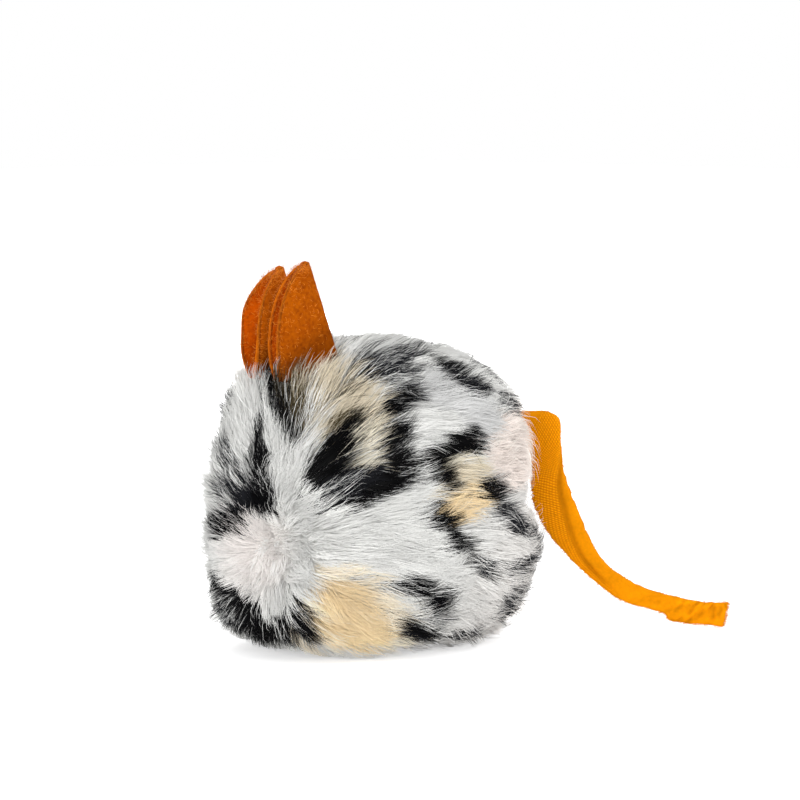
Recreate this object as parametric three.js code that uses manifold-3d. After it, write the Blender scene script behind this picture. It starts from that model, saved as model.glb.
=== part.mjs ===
// A refillable catnip mouse: a stuffed fur body with felt ears, a folded tape tail and a belly pocket.
// Millimetres and degrees, +Z up, nose toward -X, the mouse's left toward -Y.
// The origin is on the floor, under the middle of the body.
import * as THREE from 'three';
import { mergeVertices } from 'three/addons/utils/BufferGeometryUtils.js';
import Module from 'manifold-3d';

const wasm = await Module();
wasm.setup();

// Gap between pieces that are sewn together or lie against each other
const CLEARANCE = 0.3;

// Body: the outside of the laid fur pile
const NOSE_REACH = 36.5;
const RUMP_REACH = 36.5;
const BODY_HALF_WIDTH = 30;
const BACK_HEIGHT = 64.5;
// Height of the widest level, and of the nose
const GIRTH_HEIGHT = 25;
const NOSE_HEIGHT = 23;
// How far the round underside would reach below the floor if the pile were not pressed flat
const BELLY_SINK = 6;
// Exponents of the superellipses: 2 is an ellipse, larger is squarer
const FACE_EXPONENT = 2.8;
const RUMP_EXPONENT = 2.3;
const PLAN_EXPONENT = 2.2;
const SECTION_EXPONENT = 2.4;

// Fur panels: knitted backing with its pile
const PANEL_THICKNESS = 6;
// How far the belly panel ends behind the nose and ahead of the rump
const BELLY_NOSE_MARGIN = 9.5;
const BELLY_RUMP_MARGIN = 13.5;
const BELLY_PANEL_WIDTH = 36;

// Belly pocket: its mouth starts this far behind the nose
const MOUTH_SETBACK = 15.5;
const MOUTH_LENGTH = 18;
const MOUTH_WIDTH = 15;
const POCKET_MARGIN = 1.2;
const POCKET_HEIGHT = 24;
const LINER_WALL = 0.8;
const HEM_DEPTH = 8;
const STRIP_WIDTH = 6;
const STRIP_LENGTH = 12;
const STRIP_THICKNESS = 1;
const STRIP_INSET = 0.6;
// The flap's free end swings out past its resting place, so it is shorter than the mouth
const FLAP_END_GAP = 0.9;
const FILL_BEVEL = 2;

// Ears: folded felt petals
const FELT = 1.25;
const LEAF_GAP = 0.4;
const EAR_HEIGHT = 16.5;
const EAR_WIDTH = 14;
// Distance from the tip at which the petal would be widest
const EAR_ROUNDNESS = 22;
// Share of the height at which the leaves stand fully apart
const EAR_SPREAD_SHARE = 0.5;
const EAR_LEAN = 19;
// Size of the part of each ear that is sewn in: along the base, and how far it reaches past the panel
const EAR_TAB_LENGTH = 6;
const EAR_TAB_DEPTH = 3;
// How far behind the nose the middle of each base sits, and the turn of the ears to the mouse's right
const EAR_SETBACK = 12;
const EAR_TURN = 16;
// How much deeper the right ear is sewn in, so that less of it stands out of the coat
const RIGHT_EAR_SINK = 2;
// Each ear's place across the head, its height, how wide each of its leaves opens, and how far ahead of
// the middle its tab is sewn, clear of the seam along the back
const LEFT_EAR = { y: -4.6, height: EAR_HEIGHT, opening: 8, tabAhead: -2 };
const RIGHT_EAR = { y: 3.6, height: EAR_HEIGHT - RIGHT_EAR_SINK, opening: 12, tabAhead: 1.5 };
// Distance ahead and behind at which the slope of the head under an ear is taken
const SLOPE_STEP = 1;

// Tail: a tape folded lengthwise, on edge
const TAPE = 1;
const TAPE_GAP = 0.4;
const TAIL_WIDTH = 6.8;
const TAIL_END_WIDTH = 5.2;
const TAIL_HEIGHT = 43.2;
// How far the tail lies swung to the mouse's left
const TAIL_SWING = 50;
// How far the sewn-in end reaches past the panels
const TAIL_TAB_DEPTH = 5;
// Distance from the swing axis to the bend
const TAIL_BEND_REACH = 11.8;
// Centre line from the bend to the tip: distance beyond the bend, share of the tail's height
const TAIL_ROUTE = [
  [0, 1],
  [0.7, 0.891],
  [1.1, 0.764],
  [2, 0.653],
  [3.9, 0.546],
  [6, 0.465],
  [9.1, 0.352],
  [13.6, 0.255],
  [21.3, 0.157],
  [26.7, 0.125],
  [33.6, 0.081],
  [39.3, 0.068],
];

// Facets
const BODY_STATIONS = 24;
const BODY_SIDES = 36;
const INNER_STATIONS = 18;
const INNER_SIDES = 28;
const PETAL_ROWS = 9;
const PETAL_COLUMNS = 4;
const TAIL_STEPS = 22;
const BEVEL_STEPS = 3;
const OVAL_SEGMENTS = 48;
const ROUND_SIDES = 16;

// Sizes that follow from the ones above
const BELLY_FRONT_X = BELLY_NOSE_MARGIN - NOSE_REACH;
const BELLY_REAR_X = RUMP_REACH - BELLY_RUMP_MARGIN;
const BELLY_PANEL_X = (BELLY_FRONT_X + BELLY_REAR_X) / 2;
const BELLY_PANEL_LENGTH = BELLY_REAR_X - BELLY_FRONT_X;
const EAR_X = EAR_SETBACK - NOSE_REACH;
const PETAL_BEAD = FELT + LEAF_GAP / 2;
const TAIL_THICKNESS = 2 * TAPE + TAPE_GAP;
const TAIL_BEAD = TAIL_THICKNESS / 2;
const TAIL_HALF_WIDTH = TAIL_WIDTH / 2;
const HEM_BOTTOM = PANEL_THICKNESS + CLEARANCE;
const LOOP_BOTTOM = HEM_BOTTOM - CLEARANCE - STRIP_THICKNESS;
const HOOK_BOTTOM = LOOP_BOTTOM - CLEARANCE - STRIP_THICKNESS;
const FLAP_THICKNESS = HOOK_BOTTOM - CLEARANCE;
const MOUTH_FRONT_X = MOUTH_SETBACK - NOSE_REACH;
const MOUTH_REAR_X = MOUTH_FRONT_X + MOUTH_LENGTH;
const MOUTH_X = MOUTH_FRONT_X + MOUTH_LENGTH / 2;
const LINER_LENGTH = MOUTH_LENGTH + 2 * (POCKET_MARGIN + LINER_WALL);
const LINER_WIDTH = MOUTH_WIDTH + 2 * (POCKET_MARGIN + LINER_WALL);

const radians = THREE.MathUtils.degToRad;

// Fur, felt and tape have the photo's colours, and the pieces out of sight have usual ones
const fur = () => new THREE.MeshStandardMaterial({ color: 0xd8dadd, roughness: 0.95, metalness: 0 });
const felt = () => new THREE.MeshStandardMaterial({ color: 0xc9660f, roughness: 1, metalness: 0 });
const tape = () => new THREE.MeshStandardMaterial({ color: 0xf09a0a, roughness: 0.9, metalness: 0 });
const fibre = () => new THREE.MeshStandardMaterial({ color: 0xf3f2ee, roughness: 1, metalness: 0 });
const cotton = () => new THREE.MeshStandardMaterial({ color: 0xe6dfd0, roughness: 0.95, metalness: 0 });
const herb = () => new THREE.MeshStandardMaterial({ color: 0x8f7a4c, roughness: 1, metalness: 0 });
const nylon = () => new THREE.MeshStandardMaterial({ color: 0xe9e9e6, roughness: 0.7, metalness: 0 });

// A closed three.js geometry as a solid that can be cut and joined
function solidOf(geometry) {
  const bare = geometry.clone();
  bare.deleteAttribute('normal');
  bare.deleteAttribute('uv');
  const merged = mergeVertices(bare);
  const mesh = new wasm.Mesh({
    numProp: 3,
    vertProperties: merged.attributes.position.array,
    triVerts: merged.index.array,
  });
  return new wasm.Manifold(mesh);
}

function geometryOf(solid) {
  const mesh = solid.getMesh();
  const geometry = new THREE.BufferGeometry();
  geometry.setAttribute('position', new THREE.BufferAttribute(mesh.vertProperties, 3));
  geometry.setIndex(new THREE.BufferAttribute(mesh.triVerts, 1));
  geometry.computeVertexNormals();
  return geometry;
}

function namedMesh(name, geometry, material) {
  const mesh = new THREE.Mesh(geometry, material);
  mesh.name = name;
  return mesh;
}

// A box given by its two corners
function boxBetween(low, high) {
  const size = new THREE.Vector3().subVectors(high, low);
  const middle = new THREE.Vector3().addVectors(low, high).multiplyScalar(0.5);
  return new THREE.BoxGeometry(size.x, size.y, size.z).translate(middle.x, middle.y, middle.z);
}

const corner = (x, y, z) => new THREE.Vector3(x, y, z);

// An upright prism with an oval outline
function ovalPrism(x, length, width, bottom, top) {
  const outline = new THREE.Shape();
  outline.absellipse(x, 0, length / 2, width / 2, 0, 2 * Math.PI);
  const settings = { depth: top - bottom, bevelEnabled: false, curveSegments: OVAL_SEGMENTS };
  return new THREE.ExtrudeGeometry(outline, settings).translate(0, 0, bottom);
}

function facetedGeometry(points, faces) {
  const geometry = new THREE.BufferGeometry().setFromPoints(points);
  geometry.setIndex(faces);
  return geometry;
}

// A closed surface through rings of points, with a lid on the first and last ring
function loft(rings, lidOutline) {
  const sides = rings[0].length;
  const faces = [];
  for (let ring = 0; ring + 1 < rings.length; ring += 1) {
    for (let side = 0; side < sides; side += 1) {
      const here = ring * sides + side;
      const beside = ring * sides + ((side + 1) % sides);
      faces.push(here, beside, here + sides, beside, beside + sides, here + sides);
    }
  }
  const last = (rings.length - 1) * sides;
  for (const [a, b, c] of THREE.ShapeUtils.triangulateShape(lidOutline, [])) {
    faces.push(c, b, a);
    faces.push(last + a, last + b, last + c);
  }
  return facetedGeometry(rings.flat(), faces);
}

// Height of a superellipse of unit size at a share of its half length
const roundOff = (share, exponent) => Math.max(0, 1 - share ** exponent) ** (1 / exponent);

const signedPower = (value, power) => Math.sign(value) * Math.abs(value) ** power;

// The body's cross-section at a place along its length, with the outside moved inward by an inset
function bodySection(x, inset) {
  const isFace = x < 0;
  const share = Math.min(1, Math.abs(x) / ((isFace ? NOSE_REACH : RUMP_REACH) - inset));
  const swell = roundOff(share, isFace ? FACE_EXPONENT : RUMP_EXPONENT);
  const middle = isFace ? THREE.MathUtils.lerp(GIRTH_HEIGHT, NOSE_HEIGHT, share * share) : GIRTH_HEIGHT;
  return {
    middle,
    halfWidth: roundOff(share, PLAN_EXPONENT) * (BODY_HALF_WIDTH - inset),
    above: swell * (BACK_HEIGHT - middle - inset),
    below: swell * (middle + BELLY_SINK - inset),
  };
}

// The body's outside moved inward by an inset, as a closed surface from nose to rump
function bodyGeometry(inset, stations, sides) {
  const points = [];
  const faces = [];
  // Gives the new point's place in the list, and keeps it above the pressed belly
  const addPoint = (x, y, z) => points.push(corner(x, y, Math.max(z, inset))) - 1;
  const noseTip = addPoint(inset - NOSE_REACH, 0, NOSE_HEIGHT);
  for (let station = 1; station < stations; station += 1) {
    const along = -Math.cos((Math.PI * station) / stations);
    const isFace = along < 0;
    const reach = (isFace ? NOSE_REACH : RUMP_REACH) - inset;
    const x = reach * signedPower(along, 2 / (isFace ? FACE_EXPONENT : RUMP_EXPONENT));
    const section = bodySection(x, inset);
    for (let side = 0; side < sides; side += 1) {
      const angle = (2 * Math.PI * side) / sides;
      const across = signedPower(Math.sin(angle), 2 / SECTION_EXPONENT);
      const upward = signedPower(Math.cos(angle), 2 / SECTION_EXPONENT);
      const rise = upward > 0 ? section.above : section.below;
      addPoint(x, -across * section.halfWidth, section.middle + upward * rise);
    }
  }
  const rumpTip = addPoint(RUMP_REACH - inset, 0, GIRTH_HEIGHT);
  const ringStart = (station) => 1 + (station - 1) * sides;
  for (let side = 0; side < sides; side += 1) {
    const next = (side + 1) % sides;
    faces.push(noseTip, ringStart(1) + next, ringStart(1) + side);
    for (let station = 1; station + 1 < stations; station += 1) {
      const here = ringStart(station) + side;
      const beside = ringStart(station) + next;
      faces.push(here, beside, here + sides, beside, beside + sides, here + sides);
    }
    faces.push(rumpTip, ringStart(stations - 1) + side, ringStart(stations - 1) + next);
  }
  return facetedGeometry(points, faces);
}

// Height of the body's outside above a point of the floor
function backHeightAt(x, y) {
  const section = bodySection(x, 0);
  return section.middle + section.above * roundOff(Math.abs(y) / section.halfWidth, SECTION_EXPONENT);
}

// How far back the rump reaches at a height above its widest level
function rumpReachAt(height) {
  const share = (height - GIRTH_HEIGHT) / (BACK_HEIGHT - GIRTH_HEIGHT);
  return RUMP_REACH * roundOff(share, RUMP_EXPONENT);
}

// Ears

// Width of a petal at a height above its base
function petalWidth(ear, height) {
  const fromTip = (ear.height - height) / EAR_ROUNDNESS;
  return EAR_WIDTH * Math.sqrt(1 - (1 - fromTip) ** 2);
}

// The slope of the head along an ear's base sets how far the ear's group is pitched forward
function earFrame(ear) {
  const turn = radians(EAR_TURN);
  const stepX = -SLOPE_STEP * Math.cos(turn);
  const stepY = SLOPE_STEP * Math.sin(turn);
  const ahead = backHeightAt(EAR_X + stepX, ear.y + stepY);
  const behind = backHeightAt(EAR_X - stepX, ear.y - stepY);
  const pitch = Math.atan2(behind - ahead, 2 * SLOPE_STEP);
  const lift = (PETAL_BEAD + CLEARANCE) / Math.cos(pitch) + CLEARANCE;
  const frame = new THREE.Group();
  frame.position.set(EAR_X, ear.y, backHeightAt(EAR_X, ear.y) + lift);
  frame.rotation.set(0, pitch, Math.PI - turn, 'ZYX');
  frame.updateMatrix();
  frame.userData.rake = pitch - radians(EAR_LEAN);
  return frame;
}

// One leaf of the folded felt: side is 1 for the leaf on the mouse's left and -1 for the other
function petalLeaf(ear, side, rake) {
  const rings = [];
  const quarterTurn = Math.PI / 2;
  const tipHeight = ear.height - FELT / 2;
  for (let row = 0; row <= PETAL_ROWS; row += 1) {
    const rise = Math.sin(quarterTurn * (row / PETAL_ROWS));
    const height = rise * tipHeight;
    const opened = Math.sin(quarterTurn * Math.min(1, rise / EAR_SPREAD_SHARE));
    const spread = Math.tan(radians(ear.opening)) * opened;
    const outer = [];
    const inner = [];
    for (let column = 0; column <= PETAL_COLUMNS; column += 1) {
      const reach = (column / PETAL_COLUMNS) * petalWidth(ear, height);
      const along = reach - EAR_WIDTH / 2 - height * Math.tan(rake);
      const near = LEAF_GAP / 2 + reach * spread;
      inner.push(corner(along, side * near, height));
      outer.push(corner(along, side * (near + FELT), height));
    }
    const ring = [...inner, ...outer.reverse()];
    rings.push(side > 0 ? ring : ring.reverse());
  }
  const lid = rings[0].map((point) => new THREE.Vector2(point.x, point.y));
  return loft(rings, lid);
}

// A folded petal: two leaves, the fold behind them and the sewn edge along the base
function earGeometry(ear, rake) {
  const baseWidth = petalWidth(ear, 0);
  const base = new THREE.CylinderGeometry(PETAL_BEAD, PETAL_BEAD, baseWidth, ROUND_SIDES);
  base.rotateZ(Math.PI / 2).translate((baseWidth - EAR_WIDTH) / 2, 0, 0);
  const foldLength = ear.height / Math.cos(rake);
  const fold = new THREE.CylinderGeometry(PETAL_BEAD, PETAL_BEAD, foldLength, ROUND_SIDES);
  fold.rotateX(Math.PI / 2).translate(0, 0, foldLength / 2);
  fold.rotateY(-rake).translate(-EAR_WIDTH / 2, 0, 0);
  const leaves = solidOf(petalLeaf(ear, 1, rake)).add(solidOf(petalLeaf(ear, -1, rake)));
  return geometryOf(leaves.add(solidOf(base)).add(solidOf(fold)));
}

// The ear's seam allowance, sewn through the panel: a block in the ear's own frame, grown by a margin
function earTabGeometry(ear, margin) {
  const top = -PETAL_BEAD - CLEARANCE;
  const depth = PANEL_THICKNESS + EAR_TAB_DEPTH;
  const halfLength = EAR_TAB_LENGTH / 2 + margin;
  const halfThickness = PETAL_BEAD + margin;
  const low = corner(ear.tabAhead - halfLength, -halfThickness, top - depth - margin);
  const high = corner(ear.tabAhead + halfLength, halfThickness, top + margin);
  return boxBetween(low, high);
}

// Tail

const tailAxisX = rumpReachAt(TAIL_HEIGHT - TAIL_HALF_WIDTH) + TAIL_BEAD + CLEARANCE;

// The tail's seam allowance in the seam at the rump
function tailTabGeometry(margin) {
  const rear = tailAxisX - TAIL_BEAD - CLEARANCE;
  const front = rumpReachAt(TAIL_HEIGHT + TAIL_HALF_WIDTH) - PANEL_THICKNESS - TAIL_TAB_DEPTH;
  const low = corner(front - margin, -TAIL_BEAD - margin, TAIL_HEIGHT - TAIL_HALF_WIDTH - margin);
  const high = corner(rear + margin, TAIL_BEAD + margin, TAIL_HEIGHT + TAIL_HALF_WIDTH + margin);
  return boxBetween(low, high);
}

// The stretch from the swing axis to the bend, with its round end, grown by a margin
function tailStubGeometry(margin) {
  const half = TAIL_HALF_WIDTH + margin;
  const outline = new THREE.Shape();
  outline.moveTo(-margin, TAIL_HEIGHT - half);
  outline.lineTo(TAIL_BEND_REACH, TAIL_HEIGHT - half);
  outline.absarc(TAIL_BEND_REACH, TAIL_HEIGHT, half, -Math.PI / 2, Math.PI / 2);
  outline.lineTo(-margin, TAIL_HEIGHT + half);
  const depth = TAIL_THICKNESS + 2 * margin;
  const settings = { depth, bevelEnabled: false, curveSegments: ROUND_SIDES };
  return new THREE.ExtrudeGeometry(outline, settings).translate(0, 0, -depth / 2).rotateX(Math.PI / 2);
}

function tailRootGeometry() {
  const bead = new THREE.CylinderGeometry(TAIL_BEAD, TAIL_BEAD, TAIL_WIDTH, ROUND_SIDES);
  bead.rotateX(Math.PI / 2).translate(0, 0, TAIL_HEIGHT);
  const slitLow = corner(TAIL_BEAD, -TAPE_GAP / 2, TAIL_HEIGHT - TAIL_WIDTH);
  const slitEnd = TAIL_BEND_REACH + TAIL_WIDTH;
  const slitHigh = corner(slitEnd, TAPE_GAP / 2, TAIL_HEIGHT + TAIL_HALF_WIDTH - TAPE);
  const slit = solidOf(boxBetween(slitLow, slitHigh));
  return geometryOf(solidOf(tailStubGeometry(0)).add(solidOf(bead)).subtract(slit));
}

// The folded tape cut across: x out toward the fold, y across the two layers
function tapeSection(half) {
  const points = [
    [-half, -TAIL_BEAD],
    [half, -TAIL_BEAD],
    [half, TAIL_BEAD],
    [-half, TAIL_BEAD],
    [-half, TAPE_GAP / 2],
    [half - TAPE, TAPE_GAP / 2],
    [half - TAPE, -TAPE_GAP / 2],
    [-half, -TAPE_GAP / 2],
  ];
  return points.map(([out, side]) => new THREE.Vector2(out, side));
}

// The hanging stretch: the folded tape swept down its route, the fold on the outside of the curve
function tailGeometry() {
  const routePoint = ([beyond, share]) => corner(TAIL_BEND_REACH + beyond, 0, share * TAIL_HEIGHT);
  const route = new THREE.CatmullRomCurve3(TAIL_ROUTE.map(routePoint));
  const rings = [];
  for (let step = 0; step <= TAIL_STEPS; step += 1) {
    const share = step / TAIL_STEPS;
    const middle = route.getPointAt(share);
    const heading = route.getTangentAt(share);
    const outward = corner(-heading.z, 0, heading.x);
    const half = THREE.MathUtils.lerp(TAIL_WIDTH, TAIL_END_WIDTH, share) / 2;
    const section = tapeSection(half);
    const place = ({ x, y }) => middle.clone().addScaledVector(outward, x).add(corner(0, -y, 0));
    rings.push(section.map(place));
  }
  const strip = solidOf(loft(rings, tapeSection(TAIL_HALF_WIDTH)));
  return geometryOf(strip.subtract(solidOf(tailStubGeometry(CLEARANCE))));
}

// Pocket

function linerOutline(margin, bottom, top) {
  const halfWidth = LINER_WIDTH / 2 + margin;
  const front = MOUTH_X - LINER_LENGTH / 2 - margin;
  const rear = MOUTH_X + LINER_LENGTH / 2 + margin;
  return boxBetween(corner(front, -halfWidth, bottom), corner(rear, halfWidth, top));
}

// A bag with its mouth down and a hem behind the mouth that carries the loop strip
function linerBag() {
  const top = HEM_BOTTOM + POCKET_HEIGHT;
  const bag = solidOf(linerOutline(0, HEM_BOTTOM, top));
  const hollow = solidOf(linerOutline(-LINER_WALL, HEM_BOTTOM - LINER_WALL, top - LINER_WALL));
  const halfWidth = LINER_WIDTH / 2;
  const hemLow = corner(MOUTH_REAR_X - HEM_DEPTH, -halfWidth, HEM_BOTTOM);
  const hemHigh = corner(MOUTH_X + LINER_LENGTH / 2, halfWidth, HEM_BOTTOM + LINER_WALL);
  return bag.subtract(hollow).add(solidOf(boxBetween(hemLow, hemHigh)));
}

// Loose herb settled in the bag, rounded at its edges
function fillGeometry() {
  const bottom = HEM_BOTTOM + LINER_WALL + CLEARANCE;
  const top = HEM_BOTTOM + POCKET_HEIGHT - LINER_WALL - CLEARANCE;
  const inset = LINER_WALL + CLEARANCE + FILL_BEVEL;
  const halfLength = LINER_LENGTH / 2 - inset;
  const halfWidth = LINER_WIDTH / 2 - inset;
  const outline = new THREE.Shape();
  outline.moveTo(-halfLength, -halfWidth);
  outline.lineTo(halfLength, -halfWidth);
  outline.lineTo(halfLength, halfWidth);
  outline.lineTo(-halfLength, halfWidth);
  const settings = {
    depth: top - bottom - 2 * FILL_BEVEL,
    bevelEnabled: true,
    bevelSize: FILL_BEVEL,
    bevelThickness: FILL_BEVEL,
    bevelSegments: BEVEL_STEPS,
  };
  return new THREE.ExtrudeGeometry(outline, settings).translate(MOUTH_X, 0, bottom + FILL_BEVEL);
}

function flapGeometry() {
  const halfWidth = MOUTH_WIDTH / 2 - CLEARANCE;
  const low = corner(MOUTH_FRONT_X + CLEARANCE, -halfWidth, 0);
  return boxBetween(low, corner(MOUTH_REAR_X - FLAP_END_GAP, halfWidth, FLAP_THICKNESS));
}

// A closing strip whose rear edge and underside are given
function stripGeometry(rear, bottom) {
  const low = corner(rear - STRIP_WIDTH, -STRIP_LENGTH / 2, bottom);
  return boxBetween(low, corner(rear, STRIP_LENGTH / 2, bottom + STRIP_THICKNESS));
}

// Assembly

const leftFrame = earFrame(LEFT_EAR);
const rightFrame = earFrame(RIGHT_EAR);
const earSlit = (ear, frame) => solidOf(earTabGeometry(ear, CLEARANCE).applyMatrix4(frame.matrix));
const leftSlit = earSlit(LEFT_EAR, leftFrame);
const rightSlit = earSlit(RIGHT_EAR, rightFrame);
const tailSlit = solidOf(tailTabGeometry(CLEARANCE));

const outside = solidOf(bodyGeometry(0, BODY_STATIONS, BODY_SIDES));
const inside = solidOf(bodyGeometry(PANEL_THICKNESS, INNER_STATIONS, INNER_SIDES));
const shell = outside.subtract(inside);

// Half of space on one side of the middle seam, as a box larger than the body
function halfSpace(side) {
  const big = NOSE_REACH + RUMP_REACH + BACK_HEIGHT;
  const near = CLEARANCE / 2;
  return side > 0
    ? solidOf(boxBetween(corner(-big, near, -big), corner(big, big, big)))
    : solidOf(boxBetween(corner(-big, -big, -big), corner(big, -near, big)));
}

const bellyGrown = [BELLY_PANEL_LENGTH + 2 * CLEARANCE, BELLY_PANEL_WIDTH + 2 * CLEARANCE];
const bellyHole = solidOf(ovalPrism(BELLY_PANEL_X, ...bellyGrown, -CLEARANCE, GIRTH_HEIGHT));
const sides = shell.subtract(bellyHole).subtract(tailSlit);
const leftPanel = sides.intersect(halfSpace(-1)).subtract(leftSlit);
const rightPanel = sides.intersect(halfSpace(1)).subtract(rightSlit);

const bellyOval = solidOf(ovalPrism(BELLY_PANEL_X, BELLY_PANEL_LENGTH, BELLY_PANEL_WIDTH, 0, GIRTH_HEIGHT));
const mouthLow = corner(MOUTH_FRONT_X, -MOUTH_WIDTH / 2, -CLEARANCE);
const mouth = solidOf(boxBetween(mouthLow, corner(MOUTH_REAR_X, MOUTH_WIDTH / 2, GIRTH_HEIGHT)));
const bellyPanel = shell.intersect(bellyOval).subtract(mouth);

const core = solidOf(bodyGeometry(PANEL_THICKNESS + CLEARANCE, INNER_STATIONS, INNER_SIDES));
const pocketHollow = solidOf(linerOutline(CLEARANCE, 0, HEM_BOTTOM + POCKET_HEIGHT + CLEARANCE));
const pocketLiner = linerBag().intersect(core);
const fillInset = PANEL_THICKNESS + LINER_WALL + 2 * CLEARANCE;
const fillRoom = solidOf(bodyGeometry(fillInset, INNER_STATIONS, INNER_SIDES));
const catnipFill = solidOf(fillGeometry()).intersect(fillRoom);
const stuffing = core.subtract(pocketHollow).subtract(leftSlit).subtract(rightSlit).subtract(tailSlit);

function addEar(group, prefix, ear, frame) {
  frame.add(namedMesh(`${prefix}_ear`, earGeometry(ear, frame.userData.rake), felt()));
  frame.add(namedMesh(`${prefix}_ear_tab`, earTabGeometry(ear, 0), felt()));
  group.add(frame);
}

const mouse = new THREE.Group();
mouse.name = 'catnip_mouse';
mouse.add(namedMesh('left_side_panel', geometryOf(leftPanel), fur()));
mouse.add(namedMesh('right_side_panel', geometryOf(rightPanel), fur()));
mouse.add(namedMesh('belly_panel', geometryOf(bellyPanel), fur()));
mouse.add(namedMesh('stuffing', geometryOf(stuffing), fibre()));
mouse.add(namedMesh('pocket_liner', geometryOf(pocketLiner), cotton()));
mouse.add(namedMesh('catnip_fill', geometryOf(catnipFill), herb()));
mouse.add(namedMesh('loop_strip', stripGeometry(MOUTH_REAR_X - STRIP_INSET, LOOP_BOTTOM), nylon()));
mouse.add(namedMesh('pocket_flap', flapGeometry(), fur()));
const hookRear = MOUTH_REAR_X - FLAP_END_GAP - STRIP_INSET;
mouse.add(namedMesh('hook_strip', stripGeometry(hookRear, HOOK_BOTTOM), nylon()));
addEar(mouse, 'left', LEFT_EAR, leftFrame);
addEar(mouse, 'right', RIGHT_EAR, rightFrame);

const tail = new THREE.Group();
tail.position.set(tailAxisX, 0, 0);
tail.rotation.z = -radians(TAIL_SWING);
tail.add(namedMesh('tail_root', tailRootGeometry(), tape()));
tail.add(namedMesh('tail', tailGeometry(), tape()));
mouse.add(tail);
mouse.add(namedMesh('tail_tab', tailTabGeometry(0), tape()));

export default mouse;
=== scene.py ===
import math

import bpy
import numpy as np
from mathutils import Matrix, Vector
from mathutils.kdtree import KDTree


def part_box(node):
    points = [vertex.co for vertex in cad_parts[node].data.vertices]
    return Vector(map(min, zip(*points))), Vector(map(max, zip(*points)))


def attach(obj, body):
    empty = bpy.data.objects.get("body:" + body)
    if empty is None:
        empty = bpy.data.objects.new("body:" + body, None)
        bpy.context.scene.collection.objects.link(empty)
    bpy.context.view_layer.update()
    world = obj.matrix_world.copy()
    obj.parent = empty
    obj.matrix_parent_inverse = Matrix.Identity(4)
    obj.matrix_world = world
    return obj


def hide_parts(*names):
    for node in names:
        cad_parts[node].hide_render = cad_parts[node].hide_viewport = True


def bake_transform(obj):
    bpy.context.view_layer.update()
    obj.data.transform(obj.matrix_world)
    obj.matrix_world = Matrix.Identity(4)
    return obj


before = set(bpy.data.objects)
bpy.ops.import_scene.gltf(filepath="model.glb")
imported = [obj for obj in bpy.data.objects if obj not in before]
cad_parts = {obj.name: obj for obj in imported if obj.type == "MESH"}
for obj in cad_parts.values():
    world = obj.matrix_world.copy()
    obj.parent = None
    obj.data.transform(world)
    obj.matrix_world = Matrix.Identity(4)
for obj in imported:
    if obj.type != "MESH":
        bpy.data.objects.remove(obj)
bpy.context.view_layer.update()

# Lengths are in millimetres unless a comment says metres, and turn into metres as each mesh is made
MM = 0.001
TINY = 1e-9
X, Y, Z = 0, 1, 2

# Body, as in the CAD: the outside of the laid pile
NOSE_REACH = 36.5
RUMP_REACH = 36.5
BODY_HALF_WIDTH = 30
BACK_HEIGHT = 64.5
GIRTH_HEIGHT = 25
NOSE_HEIGHT = 23
BELLY_SINK = 6
FACE_EXPONENT = 2.8
RUMP_EXPONENT = 2.3
PLAN_EXPONENT = 2.2
SECTION_EXPONENT = 2.4
BELLY_X, BELLY_LENGTH, BELLY_WIDTH = -2, 50, 36
MOUTH_FRONT_X, MOUTH_REAR_X, MOUTH_HALF_WIDTH = -21, -3, 7.5
NOSE_TIP = np.array([-NOSE_REACH, 0, NOSE_HEIGHT])
# Shares of the way from nose to rump between which the grids of the body run
GRID_ENDS = (0.006, 0.994)

# Cloth and stuffing lie this far inside the body's outside
CLOTH_INSET = 4.6
FILL_INSET = 6.3
# Stations and sides of the grids of the cloth, the roots and the stuffing
CLOTH_GRID = (150, 180)
ROOT_GRID = (220, 260)
FILL_GRID = (96, 120)

# Pile
STRAND_COUNT = 130000
STRANDS_PER_PIECE = 13000
NOSE_EXTRA_ROOTS, NOSE_DENSE = 0.9, (15, 4)
BELLY_ROOTS = 0.6
MOUTH_MARGIN = 0.6
EAR_CLEARANCE = 1.3
LOCK_SIZE = 48
LOCK_SPREAD = (0.8, 1.2)
LOCK_TURN, HAIR_TURN, WILD_TURN = 11, 8, 2.5
# How the hairs turn aside together: the size of the bumps, their seed and their height in degrees
SWIRL = [(11, 21, 30), (4.5, 22, 34)]
UNDERCOAT_SHARE = 0.4
WILD_SHARE = 0.05

# Pairs of an undercoat hair and one of the topcoat
LENGTH_SHARES = (0.75, 1.15)
LOFTS = (4.5, 4.3)
GATHERS = (0.3, 0.75)
RADII = (0.08, 0.065)
RADIUS_SPREAD = (0.8, 1.2)

# Length of a hair, and loft, which is how high it rises: what each place on the coat adds or takes away
NOSE_HAIR = 4.8
LENGTH_GAINS = {"coat": 6.8, "ear": 2, "brow": 3, "haunch": 1.5}
LENGTH_SPREAD = (0.88, 1.12)
TAIL_SHORTER, BELLY_SHORTER = 0.3, 0.55
LOFT_SPREAD, WILD_LOFT = 1.3, 1.3
LOFT_GAINS = {"rump": 2.4, "back": 0.4, "croup": 0.9, "ear": 3.6, "brow": 2, "neck": 0.8, "muzzle": 0.9}
LOFT_LOSSES = {"chin": 0.45, "floor": 0.2, "tail": 0.5}
STEEPEST = 0.85

# Curve of a hair: powers of its rise and reach, and how far it falls away over the round of the body
RISE_POWER, REACH_POWER, FALL_RADIUS = 1.8, 1.1, 75
# Gathering into locks: how it grows along a hair, its spread, and how far the hairs of a lock stay apart
GATHER_POWER, GATHER_SPREAD, LOCK_APART, WILD_GATHER = 1.3, (0.6, 1.2), 0.3, 0.2
# The print that a hair takes: the share of its reach where it lies on the coat, and of the pull of its lock
PRINT_REACH, PRINT_PULL = 0.62, 0.8

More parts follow.
